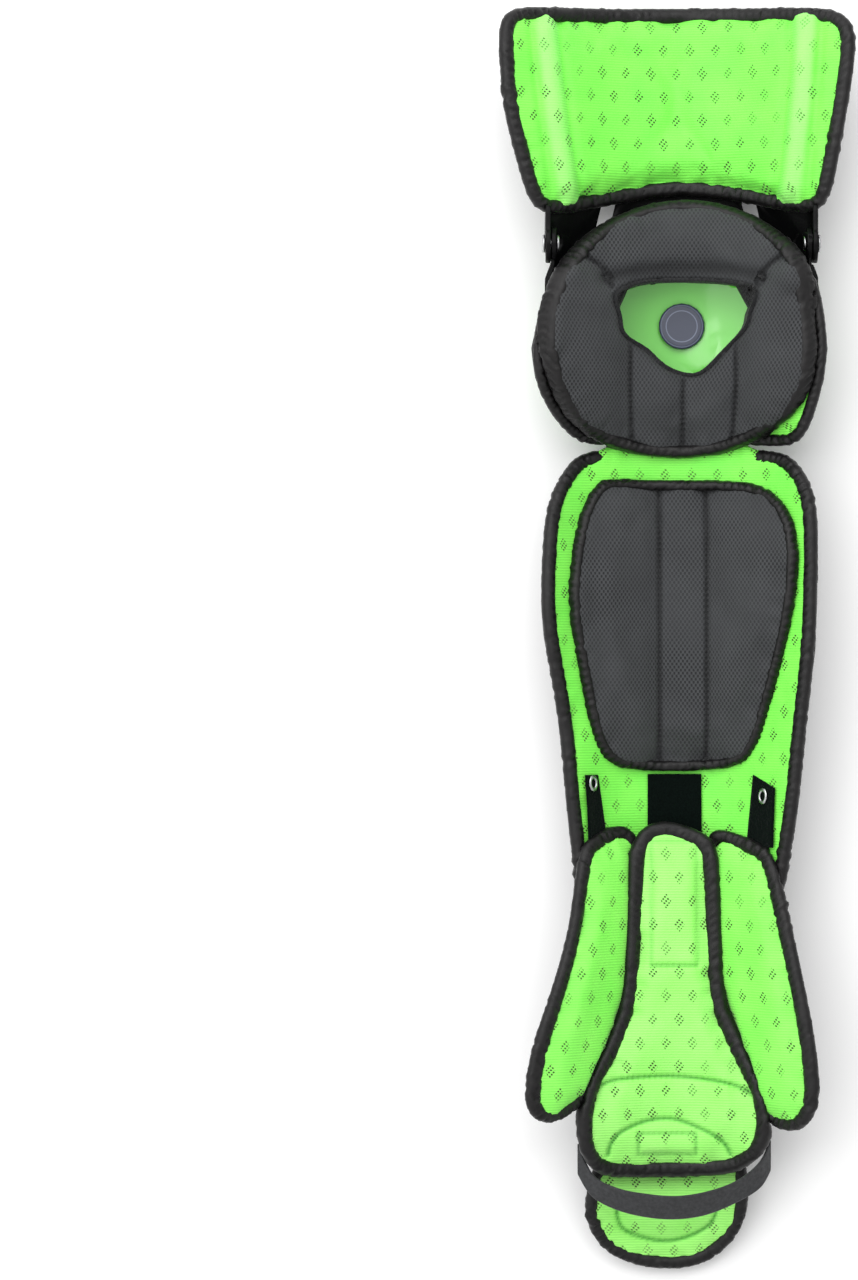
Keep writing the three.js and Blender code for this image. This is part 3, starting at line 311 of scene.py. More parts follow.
# Painted light: the same knit drawn lighter for the tongue, the toe and the wings, which stand higher and catch
# more light.
knit_painted_light = green_mesh("polyester_warp_knit_pale_green", light="b4ff88", deep="92fb60")
wing_knit_painted_light = green_mesh("polyester_warp_knit_ankle_green", light="a2ff6e", deep="7df653")
print("made", green_knit.name, knit_painted_light.name, wing_knit_painted_light.name)

# %% [markdown]
# ## Charcoal spacer mesh
# The two inner pads are covered in a polyester spacer mesh: an open honeycomb face over a darker layer.
# Its cells stand 2.4 mm apart across and 3.4 mm apart along, in offset rows.
# It is matt, so the light shows it by its raised net and darker holes.

# %% Charcoal mesh material
CELL_ACROSS = 0.0024       # between cells of one row, which stand between those of the next
CELL_ALONG = 0.0034        # between every other row


def dark_mesh(name):
    """Charcoal honeycomb spacer mesh."""
    material, tree, shader = new_material(
        name, Roughness=0.75, Specular_IOR_Level=0.3, Sheen_Weight=0.08, Sheen_Roughness=0.5)
    place, across, along = cloth_place(tree)
    wave_x = math_of(tree, "COSINE", math_of(tree, "MULTIPLY", across, math.tau / CELL_ACROSS))
    wave_y = math_of(tree, "COSINE", math_of(tree, "MULTIPLY", along, math.tau / CELL_ALONG))
    grid = math_of(tree, "MULTIPLY", wave_x, wave_y)
    drift = add_node(tree, "ShaderNodeTexNoise", {"Vector": place, "Scale": 18.0}).outputs[0]
    strength = add_node(tree, "ShaderNodeMapRange", {
        "Value": drift, "From Min": 0.35, "From Max": 0.65, "To Min": 0.45}).outputs[0]
    cell = add_node(tree, "ShaderNodeMapRange", {
        "Value": grid, "From Min": -0.05, "From Max": 0.45}).outputs[0]
    hole = math_of(tree, "MULTIPLY", cell, strength)
    soft = add_node(tree, "ShaderNodeTexNoise", {"Vector": place, "Scale": 45.0, "Detail": 3.0}).outputs[0]
    ground = add_node(tree, "ShaderNodeMix", {
        0: soft, 6: colour("333436"), 7: colour("444648")}, data_type="RGBA")
    holed = add_node(tree, "ShaderNodeMix", {
        0: hole, 6: ground.outputs[2], 7: colour("1d1e20")}, data_type="RGBA")
    # Painted shade: the seam mark darkens the mesh along its seams and round the knee window.
    seam_shaded = add_node(tree, "ShaderNodeMix", {
        0: marked(tree, "seam"), 6: holed.outputs[2], 7: colour("0c0d0e")}, data_type="RGBA")
    tree.links.new(seam_shaded.outputs[2], shader.inputs["Base Color"])
    thread = add_node(tree, "ShaderNodeTexNoise", {
        "Vector": place, "Scale": 1100.0, "Detail": 2.0}).outputs[0]
    height = math_of(tree, "MULTIPLY_ADD", hole, -1.0, math_of(tree, "MULTIPLY", thread, 0.4))
    bump = add_node(tree, "ShaderNodeBump", {"Height": height, "Strength": 0.6, "Distance": 0.0007})
    tree.links.new(bump.outputs[0], shader.inputs["Normal"])
    return material


charcoal_mesh = dark_mesh("polyester_spacer_mesh_charcoal")
print("made", charcoal_mesh.name)

# %% [markdown]
# ## Satin binding tape
# Every edge is wrapped in a folded polyester tape, woven in fine ribs.
# So it has a soft silky shine and small creases.
# The ribs are 0.9 mm apart, a little coarser than real ones so that they show.

# %% Tape, webbing and hook tape materials
def woven(name, dark, light, pitch, roughness, sheen, relief, grain=160.0, gloss=0.5):
    """A woven narrow fabric: ribs across, finer threads along, and a slow change of shade."""
    material, tree, shader = new_material(
        name, Roughness=roughness, Specular_IOR_Level=gloss, Sheen_Weight=sheen, Sheen_Roughness=0.3)
    where = add_node(tree, "ShaderNodeTexCoord").outputs["Object"]
    parts = add_node(tree, "ShaderNodeSeparateXYZ", {"Vector": where})
    diagonal = math_of(tree, "ADD", parts.outputs["X"], parts.outputs["Y"])
    other = math_of(tree, "SUBTRACT", parts.outputs["X"], parts.outputs["Y"])
    rib = math_of(tree, "SINE", math_of(tree, "MULTIPLY", diagonal, math.tau / pitch))
    cross = math_of(tree, "SINE", math_of(tree, "MULTIPLY", other, math.tau / pitch))
    weave = math_of(tree, "MULTIPLY", rib, cross)
    slow = add_node(tree, "ShaderNodeTexNoise", {"Vector": where, "Scale": grain, "Detail": 4.0}).outputs[0]
    shade = add_node(tree, "ShaderNodeMapRange", {
        "Value": slow, "From Min": 0.35, "From Max": 0.7}).outputs[0]
    mixed = add_node(tree, "ShaderNodeMix", {0: shade, 6: colour(dark), 7: colour(light)}, data_type="RGBA")
    # Painted shade: the seam mark darkens the tape in its row of stitch holes.
    seam_shaded = add_node(tree, "ShaderNodeMix", {
        0: marked(tree, "seam"), 6: mixed.outputs[2], 7: colour("020202")}, data_type="RGBA")
    tree.links.new(seam_shaded.outputs[2], shader.inputs["Base Color"])
    height = math_of(tree, "MULTIPLY_ADD", weave, 0.3, slow)
    bump = add_node(tree, "ShaderNodeBump", {"Height": height, "Strength": relief, "Distance": 0.0006})
    tree.links.new(bump.outputs[0], shader.inputs["Normal"])
    return material


satin_tape = woven("polyester_satin_binding_tape", "0c0b0c", "181617", 0.0009, 0.38, 0.04, 0.25, gloss=0.32)
elastic = woven("knitted_elastic_webbing", "1b1c1e", "2f3033", 0.0011, 0.6, 0.15, 0.5, grain=500.0)
hook_tape = woven("nylon_hook_tape", "010705", "06110e", 0.0013, 0.85, 0.05, 1.0, grain=1200.0, gloss=0.08)
print("made", satin_tape.name, elastic.name, hook_tape.name)

# %% [markdown]
# ## Moulded plastics and steel
# The shells are injection-moulded ABS: black ones with a fine spark texture, and a glossy green knee cap.
# The rivets and eyelets are nickel-plated steel, with the small scratches of a stamped part.

# %% Plastic and steel materials
def moulded(name, base, roughness, grain, relief, coat=0.0, gloss=0.5):
    """Moulded plastic with a fine surface grain."""
    material, tree, shader = new_material(
        name, IOR=1.53, Specular_IOR_Level=gloss, Coat_Weight=coat, Coat_Roughness=0.08)
    where = add_node(tree, "ShaderNodeTexCoord").outputs["Object"]
    fine = add_node(tree, "ShaderNodeTexNoise", {"Vector": where, "Scale": grain, "Detail": 4.0}).outputs[0]
    slow = add_node(tree, "ShaderNodeTexNoise", {"Vector": where, "Scale": 25.0, "Detail": 3.0}).outputs[0]
    rough = add_node(tree, "ShaderNodeMapRange", {
        "Value": slow, "To Min": roughness - 0.05, "To Max": roughness + 0.08}).outputs[0]
    tree.links.new(rough, shader.inputs["Roughness"])
    tint = add_node(tree, "ShaderNodeMapRange", {"Value": slow, "To Min": 0.9, "To Max": 1.1}).outputs[0]
    shade = add_node(tree, "ShaderNodeVectorMath", {0: colour(base)[:3], "Scale": tint}, operation="SCALE")
    tree.links.new(shade.outputs[0], shader.inputs["Base Color"])
    bump = add_node(tree, "ShaderNodeBump", {"Height": fine, "Strength": relief, "Distance": 0.0003})
    tree.links.new(bump.outputs[0], shader.inputs["Normal"])
    return material


black_abs = moulded("abs_moulded_black_matt", "050506", 0.42, 1500.0, 0.3, gloss=0.12)
green_abs = moulded("abs_moulded_green_gloss", "88ee6a", 0.18, 300.0, 0.05, coat=0.6)
slate_abs = moulded("abs_moulded_slate", "474c5f", 0.38, 900.0, 0.15)
steel = moulded("steel_nickel_plated", "b4b5b6", 0.25, 700.0, 0.1)
steel.node_tree.nodes["Principled BSDF"].inputs["Metallic"].default_value = 1.0
steel.node_tree.nodes["Principled BSDF"].inputs["IOR"].default_value = 1.5
print("made", black_abs.name, green_abs.name, slate_abs.name, steel.name)

# %% [markdown]
# The badge in the window is a plain slate disc.
# Two thin rings are drawn on it, a shade lighter than the rest.

# %% Rings on the badge
BADGE_MIDDLE = (0.0048, 0.1779)
BADGE_RINGS = (0.0118, 0.0088)
RING_HALF_WIDTH = 0.0003
badge_tree = slate_abs.node_tree
badge_shader = badge_tree.nodes["Principled BSDF"]
badge_place = add_node(badge_tree, "ShaderNodeSeparateXYZ", {
    "Vector": add_node(badge_tree, "ShaderNodeTexCoord").outputs["Object"]})
off_x = math_of(badge_tree, "SUBTRACT", badge_place.outputs["X"], BADGE_MIDDLE[0])
off_y = math_of(badge_tree, "SUBTRACT", badge_place.outputs["Y"], BADGE_MIDDLE[1])
off_y_squared = math_of(badge_tree, "MULTIPLY", off_y, off_y)
reach = math_of(badge_tree, "SQRT", math_of(badge_tree, "MULTIPLY_ADD", off_x, off_x, off_y_squared))
rings = [math_of(badge_tree, "COMPARE", reach, ring, RING_HALF_WIDTH) for ring in BADGE_RINGS]
badge_base = badge_shader.inputs["Base Color"].links[0].from_socket
on_ring = math_of(badge_tree, "MAXIMUM", rings[0], rings[1])
ringed = add_node(badge_tree, "ShaderNodeMix", {0: on_ring, 6: badge_base, 7: colour("7c8298")}, data_type="RGBA")
badge_tree.links.new(ringed.outputs[2], badge_shader.inputs["Base Color"])
print("rings on the badge:", len(rings))

# %% [markdown]
# ## Copies of the frame's solids
# A soft piece starts as a copy of its solid, whose loose triangles are merged and paired into quads.
# Catmull-Clark subdivision then rounds away the flat facets before anything is remeshed.
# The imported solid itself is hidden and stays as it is, for the physics.


# %% Copy, merge and round a solid
def copy_of(node, name):
    """A separate copy of a frame solid's mesh, merged, with quads where they fit."""
    piece = bpy.data.objects.new(name, frame["nodes"][node].data.copy())
    bpy.context.scene.collection.objects.link(piece)
    piece.data.materials.clear()
    pick(piece)
    bpy.ops.object.mode_set(mode="EDIT")
    bpy.ops.mesh.select_all(action="SELECT")
    bpy.ops.mesh.remove_doubles(threshold=0.00002)
    bpy.ops.mesh.tris_convert_to_quads(face_threshold=math.radians(50), shape_threshold=math.radians(60))
    bpy.ops.object.mode_set(mode="OBJECT")
    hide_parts(node)
    return piece


def smooth_faces(piece):
    """Smooth shading all over a piece."""
    piece.data.polygons.foreach_set("use_smooth", [True] * len(piece.data.polygons))
    piece.data.update()


def dress(piece, material, body):
    """Gives a finished piece its material and the body that it moves with."""
    piece.data.materials.clear()
    piece.data.materials.append(material)
    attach(piece, body)
    print(piece.name, len(piece.data.polygons), "faces on", body)


BODY_OF = {name: node["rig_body"] for name, node in frame["nodes"].items()}
print("bodies:", sorted(set(BODY_OF.values())))

# %% [markdown]
# ## A map that follows the cloth
# A pattern laid straight down on a curved pad would stretch where the pad turns up.
# So each pad is read in thin rows across.
# The way is measured along its surface from the middle of the leg.
# A rim that falls away steeply would tear the rows apart, so the slope is capped and evened out.

# %% Lay the cloth map
LEG_MIDDLE = 0.0025
STEEPEST = 0.9
EVENING_ROUNDS = 6


def lay_cloth(piece, step=0.003):
    """Writes the map "cloth": the way across the surface from the middle of the leg, and the way along it."""
    smooth_faces(piece)
    table = points_of(piece)
    tree = BVHTree.FromObject(piece, bpy.context.evaluated_depsgraph_get())
    low, high = table.min(axis=0) - step, table.max(axis=0) + step
    across = np.arange(low[0], high[0] + step, step)
    along = np.arange(low[1], high[1] + step, step)
    heights = np.zeros((len(along), len(across)))
    for row, y in enumerate(along):
        found = [tree.ray_cast(Vector((x, y, 0.3)), Vector((0, 0, -1)))[0] for x in across]
        known = [i for i, hit in enumerate(found) if hit is not None]
        if known:
            heights[row] = np.interp(range(len(across)), known, [found[i].z for i in known])
        elif row:
            heights[row] = heights[row - 1]
    rises = np.clip(np.diff(heights, axis=1), -STEEPEST * step, STEEPEST * step)
    for _ in range(EVENING_ROUNDS):
        rises[1:-1] = (rises[:-2] + 2 * rises[1:-1] + rises[2:]) / 4
    ways = np.concatenate([np.zeros((len(along), 1)), np.cumsum(np.hypot(step, rises), axis=1)], axis=1)
    column = int(np.clip((LEG_MIDDLE - low[0]) / step, 0, len(across) - 1))
    ways -= ways[:, column:column + 1]
    at_x = np.clip((table[:, 0] - low[0]) / step, 0, len(across) - 1.001)
    at_y = np.clip((table[:, 1] - low[1]) / step, 0, len(along) - 1.001)
    i, j = at_x.astype(int), at_y.astype(int)
    part_x, part_y = at_x - i, at_y - j
    lower = ways[j, i] * (1 - part_x) + ways[j, i + 1] * part_x
    upper = ways[j + 1, i] * (1 - part_x) + ways[j + 1, i + 1] * part_x
    width = lower * (1 - part_y) + upper * part_y
    corners = np.empty(len(piece.data.loops), dtype=np.int32)
    piece.data.loops.foreach_get("vertex_index", corners)
    cloth = piece.data.uv_layers.new(name="cloth")
    cloth.data.foreach_set("uv", np.stack([width[corners], table[corners, 1]], axis=1).ravel())
    piece.data.update()


print("cloth maps start at x =", LEG_MIDDLE)

# %% [markdown]
# ## Padding by cloth simulation
# The pads are foam in a sewn cover, so their faces are crowned and their edges pull in.
# Each is remeshed evenly, then blown up a little by Blender's Cloth with pressure and no gravity.
# Only the swelling of the face is kept, and it is capped.
# So a pad stays in its tape and off the plate below it.

# %% Remesh and swell a pad
PRESSURE = 4.0
STIFFNESS = 25.0
CLOTH_STEPS = 20
KEPT_SIDEWAYS = 0.25       # share of a sideways move that is kept


def even_mesh(piece, voxel, smooth=3):
    """Rounds a copied solid's facets and gives it even small faces."""
    apply_modifier(piece, "SUBSURF", levels=2, render_levels=2)
    apply_modifier(piece, "REMESH", mode="VOXEL", voxel_size=voxel)
    apply_modifier(piece, "SMOOTH", factor=0.5, iterations=smooth)


def swell(piece, cap):
    """Blows a pad up with the Cloth modifier, moves no point further than the cap, and applies the result."""
    before = points_of(piece)
    pick(piece)
    cloth = piece.modifiers.new("cloth", "CLOTH")
    cloth.settings.use_pressure = True
    cloth.settings.uniform_pressure_force = PRESSURE
    cloth.settings.effector_weights.gravity = 0.0
    cloth.settings.tension_stiffness = STIFFNESS
    cloth.settings.compression_stiffness = STIFFNESS
    scene = bpy.context.scene
    for frame_number in range(1, CLOTH_STEPS + 1):
        scene.frame_set(frame_number)
    bpy.ops.object.modifier_apply(modifier=cloth.name)
    scene.frame_set(1)
    moved = (points_of(piece) - before) * [KEPT_SIDEWAYS, KEPT_SIDEWAYS, 1.0]
    moved[:, 2] = np.maximum(moved[:, 2], 0)
    length = np.linalg.norm(moved, axis=1, keepdims=True)
    move_points(piece, before + moved * np.minimum(1, cap / np.maximum(length, 1e-9)))


print("cloth pressure", PRESSURE, "over", CLOTH_STEPS, "steps")

# %% [markdown]
# ## From a solid to a pad
# Remeshing and swelling draw a pad's edge in, away from its tape.
# So the edge is widened first and tucked into the tape afterwards.
# Points close to the tape, and those that face it from further off, are drawn to a place just inside it.

# %% Tuck a pad into its tape, and make a whole pad
PAD_VOXEL = 0.004
PAD_ROOM = 0.0005          # how far a pad's skin stands out from its solid
UNDERSIDE_LIFT = 0.0014    # how far its underside stays off the plate below
TAPE_OF = {"thigh_pad": "thigh_binding", "ankle_wing_left": "ankle_wing_binding_left",
           "ankle_wing_right": "ankle_wing_binding_right"}


def tuck(piece, binding, reach=0.006, far=0.014, depth=0.0022):
    """Draws a cover's edge into the tape round it, so that no gap shows between them from any side."""
    tree = BVHTree.FromObject(frame["nodes"][binding], bpy.context.evaluated_depsgraph_get())
    table, normals = points_of(piece), normals_of(piece)
    for index, (place, normal) in enumerate(zip(table, normals)):
        near, outwards, _, gap = tree.find_nearest(Vector(place), far)
        if near is not None:
            facing = float(normal @ (np.array(near) - place)) / max(gap, 1e-6)
            pull = np.clip(max(1.8 * (1 - gap / reach), 3.0 * (facing - 0.3)), 0, 1)
            table[index] = place + (np.array(near - outwards * depth) - place) * pull
    move_points(piece, table)


def widen(piece, outwards, sideways):
    """Moves the points outwards along their normals, and a pad's edge further sideways."""
    table, facing = points_of(piece), normals_of(piece)
    move_points(piece, table + facing * outwards + facing * [sideways, sideways, 0])


def pad_from(node, cap=0.003, fine=2, sideways=0.0012):
    """A padded piece made from a frame solid."""
    piece = copy_of(node, node + "_cover")
    even_mesh(piece, PAD_VOXEL)
    widen(piece, PAD_ROOM, sideways)
    swell(piece, cap)
    undersides = np.clip(-normals_of(piece)[:, 2:], 0, 1)
    move_points(piece, points_of(piece) - normals_of(piece) * undersides * UNDERSIDE_LIFT)
    tuck(piece, TAPE_OF.get(node, node + "_binding"))
    apply_modifier(piece, "SUBSURF", levels=fine, render_levels=fine)
    return piece


print("pads are remeshed at", PAD_VOXEL, "m")

# %% [markdown]
# ## Seams, channels and creases
# Sewing comes after the remesh, which would wipe out anything narrower than its voxels.
# A seam is a narrow stitched groove in a broad shallow one.
# Its mark is read by the material as painted shade along the groove.

# %% Press, sew and crumple a pad
SEAM_BROAD = 0.0065
SEAM_NARROW = 0.0014
STITCH_PITCH = 0.0032
# How wide the painted shade along a seam is.
SEAM_SHADE_WIDTH = 0.0010


def mark(piece, name, values):
    """Keeps the stronger of an old and a new mark at each point, for the shader to read."""
    kept = piece.data.attributes.get(name) or piece.data.attributes.new(name, "FLOAT", "POINT")
    before = np.zeros(len(piece.data.vertices))
    kept.data.foreach_get("value", before)
    kept.data.foreach_set("value", np.maximum(before, values))


def press(piece, line, width, depth, closed=False, stitch=0.0):
    """Presses a groove into a pad's face along a line in plan, or raises a ridge if depth is negative."""
    table, facing = points_of(piece), normals_of(piece)
    gap, along = away_from(table, line, closed)
    amount = depth * np.exp(-(gap / width) ** 2) * np.clip(facing[:, 2] * 2, 0, 1)
    if stitch:
        amount *= 0.75 + 0.25 * np.cos(along * math.tau / stitch)
    move_points(piece, table - facing * amount[:, None])


def sew(piece, line, deep=0.0026, full=0.0014, closed=False, shade=0.85):
    """Sews a seam: a narrow stitched groove, the cloth drawn down beside it, and a mark that the shader draws as
    painted shade.
    """
    press(piece, line, SEAM_BROAD, full, closed)
    press(piece, line, SEAM_NARROW, deep, closed, stitch=STITCH_PITCH)
    gap, _ = away_from(points_of(piece), line, closed)
    # The mark paints shade along the groove.
    mark(piece, "seam", shade * np.exp(-(gap / SEAM_SHADE_WIDTH) ** 2))


def crumple(piece, size, height, seed=0.0):
    """Moves the points in and out a little with smooth noise, as cloth never lies quite even."""
    table, facing = points_of(piece), normals_of(piece)
    amount = [noise.noise(Vector((x / size, y / size, z / size + seed))) for x, y, z in table]
    move_points(piece, table + facing * (np.array(amount) * height)[:, None])


print("seams have a stitch every", STITCH_PITCH, "m")

# %% [markdown]
# ## The thigh flap
# The top flap is one wide green pad.
# Two soft ridges run down it where the foam is folded, with flatter wings outside them. Their crests are drawn
# paler, a painted highlight.
# Its face is smooth and slightly crowned between the ridges.

# %% Thigh pad
THIGH_RIDGES = [line_of([(-73.9, 350.6), (-71.3, 324.8), (-67.4, 291.2), (-62.9, 263.2), (-59.6, 243.0)]),
                line_of([(72.6, 349.4), (70.9, 324.8), (68.1, 291.2), (65.3, 263.2), (63.1, 244.2)])]

RIDGE_FOOT = 0.0085        # from a ridge's crest to the crease beside it

thigh_cover = pad_from("thigh_pad", cap=0.002)
for ridge in THIGH_RIDGES:
    press(thigh_cover, ridge, width=0.0055, depth=-0.0030)
    for side in (-1, 1):
        press(thigh_cover, ridge + [side * RIDGE_FOOT, 0], width=0.0024, depth=0.0018)
    gap, _ = away_from(points_of(thigh_cover), ridge)
    # Painted highlight: the crest of each ridge is marked to be drawn paler.
    mark(thigh_cover, "fold", 0.3 * np.clip(1.8 - gap / 0.004, 0, 1))
crumple(thigh_cover, 0.022, 0.0007)
lay_cloth(thigh_cover)
dress(thigh_cover, green_knit, "thigh")

# %% [markdown]
# ## The green liners
# A green padded liner shows all round the knee pad and the shin pad.
# The shin liner is broad and rather flat.
# At the waist its cover runs on over its tape, up under the knee pad.

# %% Knee and shin liners
WAIST_START, WAIST_RISE = 0.078, 0.020       # along the leg: where the cover starts to move, and how softly
WAIST_MIDDLE, WAIST_HALF, WAIST_FADE = 0.003, 0.058, 0.022
WAIST_SHIFT = (0.0, 0.0090, 0.0020)

knee_liner_cover = pad_from("knee_liner", cap=0.002, fine=1)
lay_cloth(knee_liner_cover)
dress(knee_liner_cover, green_knit, "lower_leg")

shin_liner_cover = pad_from("shin_liner", cap=0.0006, fine=1)
crumple(shin_liner_cover, 0.03, 0.0008, seed=3.0)
table = points_of(shin_liner_cover)
upper = np.clip((table[:, 1] - WAIST_START) / WAIST_RISE, 0, 1)
upper *= np.clip((WAIST_HALF - abs(table[:, 0] - WAIST_MIDDLE)) / WAIST_FADE, 0, 1)
move_points(shin_liner_cover, table + upper[:, None] * WAIST_SHIFT)
lay_cloth(shin_liner_cover)
dress(shin_liner_cover, green_knit, "lower_leg")

# %% [markdown]
# ## The knee pad
# The knee pad is a round cushion with a window over the knee cap.
# Seams divide it into a crescent above the window, a puffy lobe on each side, and four channels below it.

# %% Lines of the knee pad
KNEE_SEAMS = [curve_through(s) for s in (
    [(-54.0, 220.0), (-48.4, 213.7), (-40.2, 207.6), (-36.0, 198.1)],
    [(63.0, 219.0), (56.8, 213.7), (49.4, 207.7), (45.0, 199.4)],
    [(-24.9, 165.0), (-25.2, 140.0), (-24.0, 110.0)],
    [(4.8, 146.0), (4.4, 130.0), (4.8, 106.0)],
    [(33.1, 164.0), (33.6, 140.0), (32.0, 110.0)])]
CRESCENT_EDGE = curve_through([(-38.0, 203.0), (-22.0, 206.5), (3.0, 207.8), (28.0, 207.0), (46.0, 202.5)])
KNEE_LOBES = [curve_through(s) for s in (
    [(-52.0, 200.0), (-56.0, 175.0), (-50.0, 148.0), (-44.0, 128.0)],
    [(60.0, 200.0), (61.0, 175.0), (56.0, 148.0), (50.0, 128.0)],
    [(-30.0, 228.0), (4.0, 232.0), (38.0, 228.0)])]

KNEE_WINDOW = curve_through([
    (-33.0, 192.3), (-26.3, 197.7), (-15.5, 200.5), (2.0, 201.6), (19.6, 201.0), (33.1, 199.1),
    (42.9, 195.4), (39.9, 183.7), (37.2, 174.7), (26.4, 163.3), (15.5, 152.5), (7.4, 150.6),
    (-4.7, 155.1), (-15.5, 164.6), (-27.7, 172.1), (-30.5, 182.2)], closed=True, parts=4)
print("the knee pad has", len(KNEE_SEAMS), "seams and", len(KNEE_LOBES), "lobes")

# %% [markdown]
# The lobes are raised first, then the seams are sewn across them.
# The remesh rounds the window's rim, so the rim is set back on its outline and pressed down.


# %% Knee pad with its seams
def open_window(piece, outline):
    """Moves what reaches into the window sideways to its edge, so that the opening keeps its sharp shape."""
    table = points_of(piece)
    inside = np.flatnonzero(inside_of(table, outline))
    for index in inside:
        place = table[index, :2]
        starts, ends = outline, np.roll(outline, -1, axis=0)
        spans = ends - starts
        part = np.clip(((place - starts) * spans).sum(axis=1) / (spans**2).sum(axis=1), 0, 1)
        nearest = starts + part[:, None] * spans
        table[index, :2] = nearest[np.hypot(*(nearest - place).T).argmin()]
    move_points(piece, table)


knee_cover = pad_from("knee_pad", cap=0.003, sideways=0.0024)
for lobe in KNEE_LOBES:
    press(knee_cover, lobe, width=0.013, depth=-0.0028)
for seam in KNEE_SEAMS:
    sew(knee_cover, seam, deep=0.0030, full=0.0022)
press(knee_cover, CRESCENT_EDGE, width=0.0045, depth=0.0036)
open_window(knee_cover, KNEE_WINDOW)
press(knee_cover, KNEE_WINDOW, width=0.0028, depth=0.0030, closed=True)
# Painted shade: the window's rim is darkened where its walls fall into shade.
gap, _ = away_from(points_of(knee_cover), KNEE_WINDOW, closed=True)
mark(knee_cover, "seam", 0.9 * np.clip(1.5 - gap / 0.0026, 0, 1))
# Painted shade: a softer dark band along the crescent's lower edge, above the window.
gap, _ = away_from(points_of(knee_cover), CRESCENT_EDGE)
mark(knee_cover, "seam", 0.6 * np.exp(-(gap / 0.0036) ** 2))
crumple(knee_cover, 0.02, 0.0006, seed=7.0)
lay_cloth(knee_cover)
dress(knee_cover, charcoal_mesh, "lower_leg")

# %% [markdown]
# ## The shin pad
# Two long seams make three channels: a narrow sunken one over the shin bone and two full ones beside it.

# %% Shin pad with its channels
SHIN_SEAMS = [line_of([(-8.6, 92.0), (-8.6, -70.0)]), line_of([(17.7, 92.0), (17.7, -70.0)])]
SHIN_BONE = line_of([(4.5, 92.0), (4.5, -70.0)])

shin_cover = pad_from("shin_pad", cap=0.003, sideways=0.0022)
for seam in SHIN_SEAMS:
    sew(shin_cover, seam, full=0.0024)
press(shin_cover, SHIN_BONE, width=0.010, depth=0.0012)
crumple(shin_cover, 0.02, 0.0006, seed=11.0)
lay_cloth(shin_cover)
dress(shin_cover, charcoal_mesh, "lower_leg")

# %% [markdown]
# ## The ankle wings
# Two thin padded wings wrap round the ankle. Their cover is the same knit, drawn in a lighter green as painted
# light.

# %% Ankle wings
for side in ("left", "right"):
    wing = pad_from("ankle_wing_" + side, cap=0.002, fine=1)
    crumple(wing, 0.025, 0.0008, seed=17.0)
    lay_cloth(wing)
    dress(wing, wing_knit_painted_light, "lower_leg")

# %% [markdown]
# ## The instep tongue
# The tongue lies over the foot.
# A stitched panel runs down its neck, and an arched seam crosses where it widens.
# Near the toe a second, smaller arch and a box of stitching hold the strap.

# %% Instep tongue with its panels
TONGUE_PANEL = line_of([(-13.7, -113.0), (12.1, -113.0), (12.1, -182.6), (-13.7, -182.6)])
ARCH_SEAM = curve_through([(-50.0, -254.6), (-40.5, -248.6), (-27.1, -245.8), (2.0, -245.3), (28.9, -248.6),
                           (44.0, -254.6)])
SMALL_ARCH = curve_through([(-38.0, -289.0), (-36.0, -282.0), (-31.0, -276.3), (-19.5, -271.1),
                            (-8.0, -269.0), (3.0, -270.2), (19.7, -277.3), (27.0, -282.5), (31.0, -289.0)])
STRAP_BOX = line_of([(-20.9, -277.2), (11.5, -277.2), (11.5, -289.2), (-20.9, -289.2)])

tongue_cover = pad_from("instep_tongue", cap=0.003)
sew(tongue_cover, TONGUE_PANEL, deep=0.0009, full=0.0003, closed=True, shade=0.3)
sew(tongue_cover, TONGUE_PANEL[2:4], deep=0.0014, full=0.0, shade=0.6)
sew(tongue_cover, ARCH_SEAM, deep=0.0024, full=0.0012)
sew(tongue_cover, SMALL_ARCH, deep=0.0018, full=0.0010)
sew(tongue_cover, STRAP_BOX, deep=0.0010, full=0.0, closed=True, shade=0.5)
crumple(tongue_cover, 0.02, 0.0006, seed=23.0)
lay_cloth(tongue_cover)
# The tongue's cover is the same knit, drawn lighter as painted light.
dress(tongue_cover, knit_painted_light, "lower_leg")

# %% [markdown]
# ## The toe flap
# A small rounded flap ends the guard, with a curved seam inside its edge.

# %% Toe flap
TOE_SEAM = curve_through([(-32.3, -318.0), (-32.0, -326.0), (-28.0, -333.5), (-15.9, -338.7), (-3.6, -340.3),
                          (8.7, -337.6), (19.9, -331.0), (24.0, -323.0), (24.4, -316.0)])

toe_cover = pad_from("toe_flap", cap=0.003)
sew(toe_cover, TOE_SEAM, deep=0.0022, full=0.0012)
crumple(toe_cover, 0.015, 0.0006, seed=29.0)
lay_cloth(toe_cover)
# The toe's cover is the same knit, drawn lighter as painted light.
dress(toe_cover, knit_painted_light, "lower_leg")

# %% [markdown]
# ## Tape round every edge
# Each pad's edge is wrapped in folded tape.
# It is pulled round the curves, so it puckers there in small creases.
# The frame's ring is rounded and remeshed finely, then creased with noise that runs along the tape.


# %% The way round a ring, and what needs it
def way_round(piece):
    """How far each point is from the topmost one, measured along the piece's edges and so round the ring."""
    ends = np.empty(len(piece.data.edges) * 2, dtype=np.int32)
    piece.data.edges.foreach_get("vertices", ends)
    table = points_of(piece)
    beside = [[] for _ in table]
    for a, b in ends.reshape(-1, 2):
        length = float(np.linalg.norm(table[a] - table[b]))
        beside[a].append((b, length))
        beside[b].append((a, length))
    way = np.full(len(table), np.inf)
    start = int(table[:, 1].argmax())
    way[start] = 0.0
    front = [(0.0, start)]
    while front:
        reached, here = heapq.heappop(front)
        if reached > way[here]:
            continue
        for there, length in beside[here]:
            if reached + length < way[there]:
                way[there] = reached + length
                heapq.heappush(front, (way[there], there))
    return np.where(np.isfinite(way), way, 0.0)


